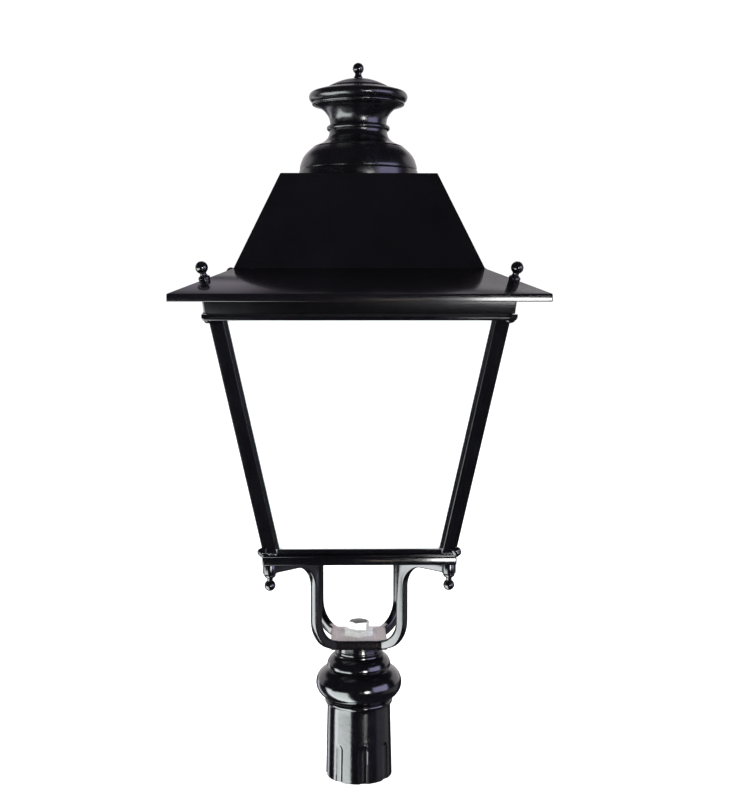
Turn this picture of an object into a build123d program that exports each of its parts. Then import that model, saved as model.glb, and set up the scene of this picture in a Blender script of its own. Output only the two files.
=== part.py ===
"""Post top lantern on a four-armed bracket, held by the head of a fluted post.

Millimetres, +Z up. The origin is on the post's axis, at the foot of the post head.
Front is -Y. Heights are stacked from the foot of the post head upwards, and the
four sides of the lantern are the front one turned in quarter turns.
"""
import os
from math import atan2, cos, degrees, radians, sin, sqrt, tan

from build123d import *

# ---- fits and clearances -------------------------------------------------------------
RUNNING = 0.05          # radial play of a pin or thread in its hole
PLAY = 0.3              # play between loose neighbours
SLIP = 0.5              # radial play of a bolt in a clearance hole
PAINT = 0.1             # room for the paint between flat faces
THROUGH = 1.0           # how far a cutter runs past the face it opens

# ---- post head ------------------------------------------------------------------------
POST_TUBE_R = 30.0      # the post's own tube, which the head slips over
SOCKET_DEPTH = 110.0
SHAFT_FOOT_R = 42.7
SHAFT_TOP_R = 40.6
SHAFT_HEIGHT = 94.0
NECK_RING_SWELL = 3.0
NECK_RING_HEIGHT = 8.5
MAIN_RING_SWELL = 14.6
MAIN_RING_HEIGHT = 39.5
CROWN_HEIGHT = 16.0
CROWN_SWELL = 1.2       # how far the crown has drawn in where it turns over
CROWN_TOP_R = 31.6
LIP_HEIGHT = 2.5
LIP_STEP = 2.0
FLUTE_COUNT = 8
FLUTE_HALF_WIDTH = 6.2
FLUTE_DEPTH = 2.0
FLUTE_TOP = 49.0
FLUTE_TURN = 7.5        # degrees from the front to the first flute
SET_SCREW_R = 4.0
SET_SCREW_HEIGHT = 24.0
BOLT_HOLE_RUN_OUT = 3.0 # of the hub bolt's hole, below the end of the bolt

# ---- bracket --------------------------------------------------------------------------
BOSS_R = 28.6
BOSS_HEIGHT = 12.0
BOSS_FLANGE = 1.2
BOSS_FLANGE_HEIGHT = 3.0
HUB_HALF = 35.5
HUB_THICK = 12.0
HUB_CORNER_R = 3.0
ARM_WIDTH = 10.0
ARM_THICK = 12.0
LEG_OUTER_R = 81.3      # from the axis to the outer face of an arm's upright leg
LOWER_BEND_R = 44.0
UPPER_FILLET_R = 28.0
BRACKET_HEIGHT = 126.8  # from the underside of the hub to the top of the feet
FOOT_THICK = 11.3
FOOT_BOSS_R = 8.3
ARM_EDGE = 1.6

# ---- hub fastening --------------------------------------------------------------------
HUB_BOLT_R = 8.0
HUB_BOLT_FLATS = 24.0
HUB_BOLT_HEAD = 10.0
HUB_BOLT_GRIP = 36.0    # depth of the bolt in the post head
HUB_NUT_FLATS = 36.0
HUB_NUT_HEIGHT = 7.0

# ---- ball bolts under the corners -----------------------------------------------------
CORNER_BOLT_INSET = 8.7 # from the edge of the base ring
BALL_BOLT_R = 4.0
BALL_BOLT_BALL_R = 6.7
BALL_BOLT_NECK_R = 3.35
BALL_BOLT_COLLAR_R = 6.6
BALL_BOLT_COLLAR_SWELL = 0.9
BALL_BOLT_NECK = 3.2    # from the ball up to the collar
BALL_BOLT_DROP = 24.3   # from the foot's underside to the centre of the ball

# ---- body frame -----------------------------------------------------------------------
BODY_FOOT_HALF = 114.3  # over the uprights, on the ledge
BODY_TOP_HALF = 170.0   # over the uprights, under the top frame
BODY_HEIGHT = 279.9
BASE_OVERHANG = 1.5     # of the base ring, out past the foot of the uprights
BASE_WIDTH = 20.0
BASE_HEIGHT = 10.2
LEDGE_OVERHANG = 3.3
LEDGE_WIDTH = 29.6
LEDGE_THICK = 2.2
UPSTAND_HEIGHT = 7.4
UPSTAND_THICK = 2.2
ANGLE_WIDTH = 16.4
ANGLE_THICK = 3.0
FOOT_WELD_R = 6.6       # lump at the corner
FOOT_WELD_LIFT = 4.0
WELD_BEAD_R = 3.0       # run of weld across each face of the foot
WELD_BEAD_LIFT = 2.4
HEAD_WELD_R = 5.5
HEAD_WELD_LIFT = 1.6
TOP_OVERHANG = 7.3      # of the top frame, out past the head of the uprights
TOP_WIDTH = 31.3
TOP_THICK = 4.0
TOP_EDGE_LEAN = 1.2
TOP_LEG_HEIGHT = 14.0
TOP_LEG_THICK = 3.0
MITRE_WELD_R = 7.0      # lump over each mitred corner of the top frame
MITRE_WELD_INSET = 3.5
BOTTOM_PLATE_LAP = 12.0 # of the plate over the ledge
BOTTOM_PLATE_THICK = 2.0

# ---- panels ---------------------------------------------------------------------------
PANEL_THICK = 3.0
BEAD_WIDTH = 4.3
BEAD_THICK = 2.4
RETAINER_WIDTH = 16.0
RETAINER_THICK = 2.0

# ---- cable gland ----------------------------------------------------------------------
GLAND_BACK = 66.0       # behind the axis, clear of the post head below it
GLAND_R = 10.0
GLAND_FLATS = 24.0
GLAND_BODY_HEIGHT = 7.0
GLAND_DOME_HEIGHT = 12.0
GLAND_DOME_IN = 0.6     # of the dome inside the flats
GLAND_NUT_HEIGHT = 5.0
GLAND_THREAD_END = 2.0  # of the thread above its nut
CABLE_R = 5.0

# ---- roof seal, hinge and screw --------------------------------------------------------
SEAL_THICK = 3.3
SEAL_INSET = 5.3        # from the edge of the top frame
SEAL_WIDTH = 14.0
HINGE_PIN_R = 1.75
KNUCKLE_R = 3.4
HINGE_OUT = 4.2         # from the edge of the top frame to the pin
HINGE_SPACING = 140.0   # between the two hinges
HINGE_LENGTH = 60.0
KNUCKLE_GAP = 0.5
LEAF_THICK = 1.8
LEAF_INSET = 2.0        # from the top of the band down to the end of the leaf
LUG_WIDTH = 20.0
LUG_REACH = 7.0         # from the edge of the top frame to the screw
LUG_ROOT = 5.0          # length of the lug inside the edge it grows from
ROOF_SCREW_R = 2.5
ROOF_SCREW_END = 3.0    # of the screw above the roof's lug
KNOB_R = 9.0
KNOB_HEIGHT = 9.0
KNOB_COLLAR_R = 4.0
KNOB_COLLAR_HEIGHT = 2.4
KNOB_EDGE = 1.0
SCREW_CLIP_R = 4.6
SCREW_CLIP_THICK = 0.8

# ---- canopy ---------------------------------------------------------------------------
BAND_INSET = 2.6        # from the edge of the top frame
BAND_FLARE = 1.6        # how far the band leans out
BAND_HEIGHT = 14.0
BAND_THICK = 2.0
BAND_FLANGE_WIDTH = 26.7
SHEET = 1.5
EAVE_OVERHANG = 34.7    # out past the top of the band
FASCIA_HEIGHT = 8.5
SKIRT_RUN = 67.0        # from the edge of the eaves in to the steep roof
SKIRT_RISE = 28.9
SKIRT_LAP = 10.0        # of the skirt under the steep roof
ROOF_MARGIN = 18.8      # of the roof's top round the chimney
ROOF_RISE = 112.6
ROOF_VENT_R = 46.0

# ---- chimney --------------------------------------------------------------------------
CHIMNEY_WALL = 3.0
PLINTH_R = 73.8
PLINTH_SEAT = 7.0       # width of the rim that stands on the roof
PLINTH_HEIGHT = 10.6
GROOVE_DEPTH = 1.4
GROOVE_HEIGHT = 1.6
DOME_HEIGHT = 29.5
DOME_FOOT_IN = 0.6      # how far inside the plinth the dome starts
DOME_MIDDLE_IN = 4.6    # and half way up
SHOULDER_IN = 17.5      # and at its top
SHOULDER_EDGE = 1.0
THROAT_FOOT_IN = 9.8    # from the shoulder in to the neck
THROAT_R = 36.1
THROAT_HEIGHT = 19.9    # from the shoulder to the bead
BEAD_SWELL = 3.3
BEAD_HEIGHT = 6.4
BELL_FOOT_IN = 0.9      # of the bell inside the throat
BELL_HEIGHT = 24.8      # from the bead to the underside of the lid
BELL_INSET = 2.7        # of the bell's rim inside the lid's step
BELL_RIM = 0.6
LID_R = 61.3
LID_STEP_IN = 3.7
LID_STEP_HEIGHT = 3.6
LID_RIM_HEIGHT = 16.8   # from the underside of the lid to the upper edge of its rim
LID_RIM_TOP_IN = 6.5
LID_EDGE = 0.8
LID_DOME_R = 37.5
LID_DOME_FOOT = 22.3
LID_DOME_FALL = 3.2     # from the crown down to the middle of the slope
LID_HEIGHT = 33.2
ROD_R = 3.0
CROSSBAR_WIDTH = 20.0
CROSSBAR_THICK = 4.0
CROSSBAR_LAP = 14.0     # of the bar beyond the roof's opening, on each side
ROD_NUT_FLATS = 10.0
ROD_NUT_HEIGHT = 5.0
ROD_END = 5.0           # of the rod below its nut

# ---- ball finials ---------------------------------------------------------------------
TOP_BALL_R = 7.0
TOP_BALL_NECK_R = 4.2
TOP_BALL_FOOT_R = 5.9
TOP_BALL_LIFT = 12.2    # from the lid's crown to the centre of the ball
FINIAL_INSET = 37.6     # from the edge of the eaves
FINIAL_BALL_R = 7.15
FINIAL_NECK_R = 3.7
FINIAL_COLLAR_R = 6.8
FINIAL_COLLAR_HEIGHT = 3.6
FINIAL_COLLAR_EDGE = 1.5
FINIAL_LIFT = 13.6      # from the hip to the centre of the ball
FINIAL_STUD_R = 2.5
FINIAL_NUT_FLATS = 8.0
FINIAL_NUT_HEIGHT = 3.2

# ---- gear inside the canopy -----------------------------------------------------------
TRAY_LAP = 14.0         # of the tray over the band's flange
TRAY_EDGE = 12.0
TRAY_SCREW_INSET = 8.5
TRAY_SCREW_SIDE = 90.0  # from the middle of a side to its screws
TRAY_SCREW_R = 2.0
TRAY_SCREW_END = 3.0
TRAY_SCREW_HEAD_R = 3.3
TRAY_SCREW_HEAD_HEIGHT = 2.2
GEAR_LENGTH = 120.0
GEAR_WIDTH = 46.0
GEAR_HEIGHT = 30.0
GEAR_BACK = 70.0
GEAR_EDGE_R = 3.0
GEAR_EAR_LENGTH = 10.0
GEAR_EAR_WIDTH = 18.0
GEAR_EAR_THICK = 2.5
TERMINAL_LENGTH = 48.0
TERMINAL_WIDTH = 20.0
TERMINAL_HEIGHT = 18.0
TERMINAL_COUNT = 3
TERMINAL_HOLE_R = 3.0
TERMINAL_HOLE_DEPTH = 8.0
HOLDER_R = 23.5
HOLDER_TOP_R = 19.5
HOLDER_TOP_HEIGHT = 16.0
HOLDER_EDGE = 2.0
HOLDER_HEIGHT = 54.0
WIRE_HOLE_MARGIN = 3.0  # of the tray's opening round the lamp's cap
LAMP_CAP_R = 13.2
LAMP_CAP_HEIGHT = 24.0
LAMP_CAP_EDGE = 4.0
LAMP_NECK = 34.0
LAMP_NECK_IN = 0.8
LAMP_R = 30.0

# ---- heights worked out from the stack ------------------------------------------------
NECK_RING_TOP = SHAFT_HEIGHT + NECK_RING_HEIGHT
MAIN_RING_TOP = NECK_RING_TOP + MAIN_RING_HEIGHT
CROWN_TOP = MAIN_RING_TOP + CROWN_HEIGHT
HEAD_TOP = CROWN_TOP + LIP_HEIGHT
HUB_FOOT = HEAD_TOP + BOSS_HEIGHT
HUB_TOP = HUB_FOOT + HUB_THICK
BASE_FOOT = HUB_FOOT + BRACKET_HEIGHT
FOOT_UNDERSIDE = BASE_FOOT - FOOT_THICK
LEDGE_FOOT = BASE_FOOT + BASE_HEIGHT
LEDGE_TOP = LEDGE_FOOT + LEDGE_THICK
PLATE_TOP = LEDGE_TOP + BOTTOM_PLATE_THICK
TOP_FOOT = LEDGE_TOP + BODY_HEIGHT
TOP_TOP = TOP_FOOT + TOP_THICK
BAND_FOOT = TOP_TOP + SEAL_THICK
BAND_TOP = BAND_FOOT + BAND_HEIGHT
TRAY_FOOT = BAND_FOOT + BAND_THICK
SOFFIT_TOP = BAND_TOP + SHEET
EAVE_TOP = BAND_TOP + FASCIA_HEIGHT
FOLD_TOP = EAVE_TOP + SKIRT_RISE
ROOF_TOP = FOLD_TOP + ROOF_RISE
CROSSBAR_FOOT = ROOF_TOP - SHEET - CROSSBAR_THICK
ROD_NUT_FOOT = CROSSBAR_FOOT - ROD_NUT_HEIGHT
DOME_TOP = ROOF_TOP + PLINTH_HEIGHT + DOME_HEIGHT
BEAD_FOOT = DOME_TOP + THROAT_HEIGHT
BEAD_TOP = BEAD_FOOT + BEAD_HEIGHT
LID_FOOT = BEAD_TOP + BELL_HEIGHT
LID_TOP = LID_FOOT + LID_HEIGHT

# ---- half widths and radii worked out from their neighbours -----------------------------
BASE_HALF = BODY_FOOT_HALF + BASE_OVERHANG
CORNER_BOLT_HALF = BASE_HALF - CORNER_BOLT_INSET
LEDGE_HALF = BODY_FOOT_HALF + LEDGE_OVERHANG
LEDGE_INNER_HALF = LEDGE_HALF - LEDGE_WIDTH
BOTTOM_PLATE_HALF = LEDGE_INNER_HALF + BOTTOM_PLATE_LAP
TOP_HALF = BODY_TOP_HALF + TOP_OVERHANG
TOP_INNER_HALF = TOP_HALF - TOP_WIDTH
SEAL_HALF = TOP_HALF - SEAL_INSET
BAND_FOOT_HALF = TOP_HALF - BAND_INSET
BAND_TOP_HALF = BAND_FOOT_HALF + BAND_FLARE
BAND_FLANGE_HALF = BAND_FOOT_HALF - BAND_FLANGE_WIDTH
TRAY_HALF = BAND_FLANGE_HALF + TRAY_LAP
TRAY_SCREW_HALF = TRAY_HALF - TRAY_SCREW_INSET
EAVE_HALF = BAND_TOP_HALF + EAVE_OVERHANG
FOLD_HALF = EAVE_HALF - SKIRT_RUN
FINIAL_HALF = EAVE_HALF - FINIAL_INSET
ROOF_TOP_HALF = PLINTH_R + ROOF_MARGIN
SHOULDER_R = PLINTH_R - SHOULDER_IN
THROAT_FOOT_R = SHOULDER_R - THROAT_FOOT_IN
LID_STEP_R = LID_R - LID_STEP_IN
BELL_TOP_R = LID_STEP_R - BELL_INSET
BELL_FOOT_R = THROAT_R - BELL_FOOT_IN

LEAN = (BODY_TOP_HALF - BODY_FOOT_HALF) / BODY_HEIGHT
SKIRT_SLOPE = SKIRT_RISE / (EAVE_HALF - FOLD_HALF)
HINGE_X = -(TOP_HALF + HINGE_OUT)
HINGE_Z = (TOP_TOP + BAND_FOOT) / 2
SCREW_X = TOP_HALF + LUG_REACH
SIDES = ["front", "right", "back", "left"]
CORNERS = ["front_left", "front_right", "back_right", "back_left"]


# ---- shapes used for several pieces -----------------------------------------------------
def body_half(z):
    """Half width over the outer faces of the uprights at height z."""
    return BODY_FOOT_HALF + (z - LEDGE_TOP) * LEAN


def prism(points, z):
    """Flat polygon lying at height z."""
    return Pos(0, 0, z) * make_face(Polyline(*points, close=True))


def block(x0, x1, y0, y1, z0, z1):
    """Square block between two corners."""
    centre = Pos((x0 + x1) / 2, (y0 + y1) / 2, (z0 + z1) / 2)
    return centre * Box(x1 - x0, y1 - y0, z1 - z0)


def square_frustum(foot_half, foot, top_half, top):
    """Solid with a square foot and a square top, centred on the axis."""
    sections = [Pos(0, 0, foot) * Rectangle(2 * foot_half, 2 * foot_half)]
    sections += [Pos(0, 0, top) * Rectangle(2 * top_half, 2 * top_half)]
    return loft(sections)


def square_ring(outer_half, inner_half, foot, top):
    """Flat square ring."""
    outline = Rectangle(2 * outer_half, 2 * outer_half) - Rectangle(2 * inner_half, 2 * inner_half)
    return extrude(Pos(0, 0, foot) * outline, top - foot)


def turned(outline):
    """Piece turned about the axis from a closed outline of radius and height."""
    return revolve(Plane.XZ * make_face(outline), Axis.Z)


def rod(radius, foot, top, x=0.0, y=0.0):
    """Upright round bar or hole."""
    return Pos(x, y, (foot + top) / 2) * Cylinder(radius, top - foot)


def hexagon(flats, height, turn=0.0, bevel=1.0):
    """Hexagon standing at the origin, its upper corners turned off."""
    blank = extrude(RegularPolygon(flats / 2, 6, major_radius=False, rotation=turn), height)
    corner_r = flats / 2 / cos(radians(30))
    outline = Polyline((0, 0), (corner_r, 0), (corner_r, height - bevel),
                       (corner_r - 2 * bevel, height), (0, height), close=True)
    return blank & turned(outline)


def four(solid):
    """The piece of the front or the front left corner, turned round the four sides."""
    return [Rot(0, 0, 90 * turn) * solid for turn in range(4)]


# ---- post head and its screws -----------------------------------------------------------
def flute():
    """Cutter for one round-topped flute, lying along the tapered shaft."""
    cutter_r = (FLUTE_HALF_WIDTH ** 2 + FLUTE_DEPTH ** 2) / (2 * FLUTE_DEPTH)
    top = FLUTE_TOP - FLUTE_HALF_WIDTH
    taper = degrees(atan2(SHAFT_FOOT_R - SHAFT_TOP_R, SHAFT_HEIGHT))
    length = top + SHAFT_FOOT_R
    cutter = Pos(0, 0, -length / 2) * Cylinder(cutter_r, length) + Sphere(cutter_r)
    surface = SHAFT_FOOT_R - top * tan(radians(taper))
    return Pos(surface + cutter_r - FLUTE_DEPTH, 0, top) * Rot(0, -taper, 0) * cutter


def set_screw_angles():
    """The two flutes at the back, which hide the set screws."""
    step = 360 / FLUTE_COUNT
    first = -90 + FLUTE_TURN
    return [first + step * (FLUTE_COUNT // 2 + offset) for offset in (-1, 1)]


def post_head():
    neck_middle = SHAFT_HEIGHT + NECK_RING_HEIGHT / 2
    main_middle = (NECK_RING_TOP + MAIN_RING_TOP) / 2
    crown_middle = MAIN_RING_TOP + 0.6 * CROWN_HEIGHT
    outline = Line((0, 0), (SHAFT_FOOT_R, 0))
    outline += Line((SHAFT_FOOT_R, 0), (SHAFT_TOP_R, SHAFT_HEIGHT))
    outline += ThreePointArc((SHAFT_TOP_R, SHAFT_HEIGHT), (SHAFT_TOP_R + NECK_RING_SWELL, neck_middle),
                             (SHAFT_TOP_R, NECK_RING_TOP))
    outline += ThreePointArc((SHAFT_TOP_R, NECK_RING_TOP), (SHAFT_TOP_R + MAIN_RING_SWELL, main_middle),
                             (SHAFT_TOP_R, MAIN_RING_TOP))
    outline += ThreePointArc((SHAFT_TOP_R, MAIN_RING_TOP), (SHAFT_TOP_R - CROWN_SWELL, crown_middle),
                             (CROWN_TOP_R + LIP_STEP, CROWN_TOP))
    outline += Polyline((CROWN_TOP_R + LIP_STEP, CROWN_TOP), (CROWN_TOP_R, CROWN_TOP),
                        (CROWN_TOP_R, HEAD_TOP), (0, HEAD_TOP), (0, 0))
    head = turned(outline)
    for turn in range(FLUTE_COUNT):
        head -= Rot(0, 0, -90 + FLUTE_TURN + turn * 360 / FLUTE_COUNT) * flute()
    head -= rod(POST_TUBE_R + PLAY, -THROUGH, SOCKET_DEPTH)
    bolt_hole_foot = HEAD_TOP - HUB_BOLT_GRIP - BOLT_HOLE_RUN_OUT
    head -= rod(HUB_BOLT_R + RUNNING, bolt_hole_foot, HEAD_TOP + THROUGH)
    for angle in set_screw_angles():
        hole = Pos(SHAFT_FOOT_R, 0, SET_SCREW_HEIGHT) * Rot(0, 90, 0) * Cylinder(
            SET_SCREW_R + RUNNING, SHAFT_FOOT_R)
        head -= Rot(0, 0, angle) * hole
    return head


def post_set_screws():
    """Two short screws with a hexagon socket, flush with the floor of their flutes."""
    tip = POST_TUBE_R + PLAY
    length = SHAFT_TOP_R - FLUTE_DEPTH - tip
    screw = Pos(0, 0, length / 2) * Cylinder(SET_SCREW_R, length)
    screw -= Pos(0, 0, length / 2) * extrude(RegularPolygon(SET_SCREW_R / 2, 6), length)
    placed = Pos(tip, 0, SET_SCREW_HEIGHT) * Rot(0, 90, 0) * screw
    return [Rot(0, 0, angle) * placed for angle in set_screw_angles()]


# ---- bracket and what holds it ----------------------------------------------------------
def arm():
    """One arm along +X: web from the hub, bend, upright leg and foot, rounded as cast."""
    leg_inner = LEG_OUTER_R - ARM_THICK
    bend_x = LEG_OUTER_R - LOWER_BEND_R
    bend_z = HUB_FOOT + LOWER_BEND_R
    inner_r = LOWER_BEND_R - ARM_THICK
    hub_end = HUB_HALF / 2
    fillet_x = LEG_OUTER_R + UPPER_FILLET_R
    fillet_z = FOOT_UNDERSIDE - UPPER_FILLET_R
    foot_end = CORNER_BOLT_HALF * sqrt(2)
    outline = Line((hub_end, HUB_FOOT), (bend_x, HUB_FOOT))
    outline += CenterArc((bend_x, bend_z), LOWER_BEND_R, -90, 90)
    outline += Line((LEG_OUTER_R, bend_z), (LEG_OUTER_R, fillet_z))
    outline += CenterArc((fillet_x, fillet_z), UPPER_FILLET_R, 180, -90)
    outline += Polyline((fillet_x, FOOT_UNDERSIDE), (foot_end, FOOT_UNDERSIDE), (foot_end, BASE_FOOT),
                        (leg_inner, BASE_FOOT), (leg_inner, bend_z))
    outline += CenterArc((bend_x, bend_z), inner_r, -90, 90)
    outline += Polyline((bend_x, bend_z - inner_r), (hub_end, bend_z - inner_r), (hub_end, HUB_FOOT))
    web = extrude(Plane.XZ * make_face(outline), ARM_WIDTH / 2, both=True)
    rounded = [edge for edge in web.edges() if abs(abs(edge.center().Y) - ARM_WIDTH / 2) < 0.01
               and edge.center().X > hub_end + 1 and edge.center().X < foot_end - 1
               and edge.center().Z < BASE_FOOT - 1 and edge.length > 2 * ARM_EDGE]
    web = fillet(rounded, ARM_EDGE)
    return web + rod(FOOT_BOSS_R, FOOT_UNDERSIDE, BASE_FOOT, foot_end)


def bracket():
    hub = extrude(Pos(0, 0, HUB_FOOT) * RectangleRounded(2 * HUB_HALF, 2 * HUB_HALF, HUB_CORNER_R),
                  HUB_THICK)
    hub += rod(BOSS_R, HEAD_TOP, HUB_FOOT)
    casting = hub + rod(BOSS_R + BOSS_FLANGE, HEAD_TOP, HEAD_TOP + BOSS_FLANGE_HEIGHT)
    for turn in range(4):
        casting += Rot(0, 0, 45 + 90 * turn) * arm()
    casting -= rod(HUB_BOLT_R + SLIP, HEAD_TOP - THROUGH, HUB_TOP + THROUGH)
    for x in (-1, 1):
        for y in (-1, 1):
            casting -= rod(BALL_BOLT_R + SLIP, FOOT_UNDERSIDE - THROUGH, BASE_FOOT + THROUGH,
                           x * CORNER_BOLT_HALF, y * CORNER_BOLT_HALF)
    return casting


def hub_nut():
    nut = Pos(0, 0, HUB_TOP) * hexagon(HUB_NUT_FLATS, HUB_NUT_HEIGHT, turn=30, bevel=1.4)
    return nut - rod(HUB_BOLT_R + SLIP, HUB_TOP - THROUGH, HUB_TOP + HUB_NUT_HEIGHT + THROUGH)


def hub_bolt():
    head_foot = HUB_TOP + HUB_NUT_HEIGHT
    head = Pos(0, 0, head_foot) * hexagon(HUB_BOLT_FLATS, HUB_BOLT_HEAD, turn=12, bevel=1.2)
    return head + rod(HUB_BOLT_R, HEAD_TOP - HUB_BOLT_GRIP, head_foot)


def ball_bolt():
    """Decorative bolt under the front left corner: stud, collar, neck and ball."""
    neck_r = BALL_BOLT_NECK_R
    ball_z = FOOT_THICK - BALL_BOLT_DROP
    collar = ball_z + BALL_BOLT_BALL_R + BALL_BOLT_NECK
    rim_r = BALL_BOLT_COLLAR_R - BALL_BOLT_COLLAR_SWELL
    outline = Line((0, 0), (BALL_BOLT_COLLAR_R, 0))
    outline += ThreePointArc((BALL_BOLT_COLLAR_R, 0), (BALL_BOLT_COLLAR_R + BALL_BOLT_COLLAR_SWELL, collar / 2),
                             (rim_r, collar))
    neck_z = ball_z + sqrt(BALL_BOLT_BALL_R ** 2 - neck_r ** 2)
    outline += Polyline((rim_r, collar), (neck_r, (collar + neck_z) / 2), (neck_r, neck_z))
    outline += ThreePointArc((neck_r, neck_z), (BALL_BOLT_BALL_R, ball_z), (0, ball_z - BALL_BOLT_BALL_R))
    outline += Line((0, ball_z - BALL_BOLT_BALL_R), (0, 0))
    bolt = Pos(0, 0, FOOT_UNDERSIDE) * turned(outline)
    bolt += rod(BALL_BOLT_R, FOOT_UNDERSIDE, LEDGE_FOOT - PLAY)
    return Pos(-CORNER_BOLT_HALF, -CORNER_BOLT_HALF, 0) * bolt


# ---- body frame -------------------------------------------------------------------------
def base_ring():
    ring = square_ring(BASE_HALF, BASE_HALF - BASE_WIDTH, BASE_FOOT, LEDGE_FOOT)
    for x in (-1, 1):
        for y in (-1, 1):
            ring -= rod(BALL_BOLT_R + RUNNING, BASE_FOOT - THROUGH, LEDGE_FOOT + THROUGH,
                        x * CORNER_BOLT_HALF, y * CORNER_BOLT_HALF)
    return ring


def bottom_frame():
    """Flat ledge with a low upstand along each side, between the uprights."""
    frame = square_ring(LEDGE_HALF, LEDGE_INNER_HALF, LEDGE_FOOT, LEDGE_TOP)
    sections = []
    for z in (LEDGE_TOP, LEDGE_TOP + UPSTAND_HEIGHT):
        half = body_half(z)
        run = half - ANGLE_WIDTH
        sections.append(prism([(-run, -half), (run, -half), (run, UPSTAND_THICK - half),
                               (-run, UPSTAND_THICK - half)], z))
    for side in four(loft(sections)):
        frame += side
    return frame


def bottom_plate():
    half = BOTTOM_PLATE_HALF
    plate = block(-half, half, -half, half, LEDGE_TOP, PLATE_TOP)
    return plate - rod(GLAND_R + PLAY, LEDGE_TOP - THROUGH, PLATE_TOP + THROUGH, 0, GLAND_BACK)


def cable_gland():
    """Threaded sleeve through the plate, with a hexagon and a domed nut below it."""
    hexagons = Rot(180, 0, 0) * hexagon(GLAND_FLATS, GLAND_BODY_HEIGHT)
    dome_r = GLAND_FLATS / 2 - GLAND_DOME_IN
    turn_r = GLAND_DOME_HEIGHT / 2
    flat_r = dome_r - turn_r
    outline = Line((0, 0), (dome_r, 0))
    outline += Line((dome_r, 0), (dome_r, turn_r - GLAND_DOME_HEIGHT))
    outline += CenterArc((flat_r, turn_r - GLAND_DOME_HEIGHT), turn_r, 0, -90)
    outline += Polyline((flat_r, -GLAND_DOME_HEIGHT), (0, -GLAND_DOME_HEIGHT), (0, 0))
    sleeve_top = BOTTOM_PLATE_THICK + GLAND_NUT_HEIGHT + GLAND_THREAD_END
    gland = hexagons + Pos(0, 0, -GLAND_BODY_HEIGHT) * turned(outline) + rod(GLAND_R, 0, sleeve_top)
    gland -= rod(CABLE_R, -GLAND_BODY_HEIGHT - GLAND_DOME_HEIGHT - THROUGH, sleeve_top + THROUGH)
    return Pos(0, GLAND_BACK, LEDGE_TOP) * gland


def gland_locknut():
    nut = hexagon(GLAND_FLATS, GLAND_NUT_HEIGHT)
    nut -= rod(GLAND_R + RUNNING, -THROUGH, GLAND_NUT_HEIGHT + THROUGH)
    return Pos(0, GLAND_BACK, PLATE_TOP) * nut


def angle_section(edge, width, thick, z):
    """Section of a corner angle at height z, its outer corner at edge on both axes."""
    return prism([(edge, edge), (edge + width, edge), (edge + width, edge + thick),
                  (edge + thick, edge + thick), (edge + thick, edge + width), (edge, edge + width)], z)


def foot_weld():
    """Lump at the corner of an upright's foot, and the bead along each of its faces."""
    z = LEDGE_TOP + FOOT_WELD_LIFT
    edge = -body_half(z)
    weld = Pos(edge, edge, z) * Sphere(FOOT_WELD_R)
    bead_z = LEDGE_TOP + WELD_BEAD_LIFT
    face = -body_half(bead_z)
    middle = face + ANGLE_WIDTH / 2
    bead = Cylinder(WELD_BEAD_R, ANGLE_WIDTH - 2 * PAINT)
    weld += Pos(middle, face, bead_z) * Rot(0, 90, 0) * bead
    return weld + Pos(face, middle, bead_z) * Rot(90, 0, 0) * bead


def head_weld():
    """Small lump at the corner under the top frame."""
    edge = -body_half(TOP_FOOT)
    return Pos(edge, edge, TOP_FOOT + HEAD_WELD_LIFT) * Sphere(HEAD_WELD_R)


def upright():
    """Angle bar of the front left corner, welded at each end."""
    bar = loft([angle_section(-body_half(z), ANGLE_WIDTH, ANGLE_THICK, z) for z in (LEDGE_TOP, TOP_FOOT)])
    between = block(-TOP_HALF, 0, -TOP_HALF, 0, LEDGE_TOP, TOP_FOOT)
    for weld in (foot_weld(), head_weld()):
        behind = ANGLE_THICK - body_half(weld.center().Z)
        room = block(behind, 0, behind, 0, LEDGE_TOP, TOP_FOOT)
        bar += (weld & between) - room
    return bar


def panel():
    """White panel of the front, behind the uprights."""
    front = ANGLE_THICK + 2 * PAINT
    sections = []
    for z in (LEDGE_TOP + PLAY, TOP_FOOT - PLAY):
        half = body_half(z)
        run = half - front - PANEL_THICK - PLAY
        sections.append(prism([(-run, front - half), (run, front - half),
                               (run, front + PANEL_THICK - half), (-run, front + PANEL_THICK - half)], z))
    return loft(sections)


def glazing_beads():
    """Two narrow strips in front of the panel, against the edges of the uprights."""
    face = ANGLE_THICK + PAINT - BEAD_THICK
    sections = []
    for z in (LEDGE_TOP + UPSTAND_HEIGHT + PLAY, TOP_FOOT - PAINT):
        half = body_half(z)
        outer = ANGLE_WIDTH + PAINT - half
        sections.append(prism([(outer, face - half), (outer + BEAD_WIDTH, face - half),
                               (outer + BEAD_WIDTH, face + BEAD_THICK - half),
                               (outer, face + BEAD_THICK - half)], z))
    left = loft(sections)
    return [left, mirror(left, Plane.YZ)]


def corner_retainer():
    """Inner angle that holds two panels against the front left upright."""
    back = ANGLE_THICK + PANEL_THICK + 4 * PAINT
    ends = (PLATE_TOP, TOP_FOOT - TOP_LEG_HEIGHT - PLAY)
    return loft([angle_section(back - body_half(z), RETAINER_WIDTH, RETAINER_THICK, z) for z in ends])


def lug(foot, inner, hole_r):
    """Rounded ear for the roof's screw on the right side."""
    ear = block(inner, SCREW_X, -LUG_WIDTH / 2, LUG_WIDTH / 2, foot, foot + TOP_THICK)
    ear += rod(LUG_WIDTH / 2, foot, foot + TOP_THICK, SCREW_X)
    return ear, rod(hole_r, foot - THROUGH, foot + TOP_THICK + THROUGH, SCREW_X)


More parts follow.
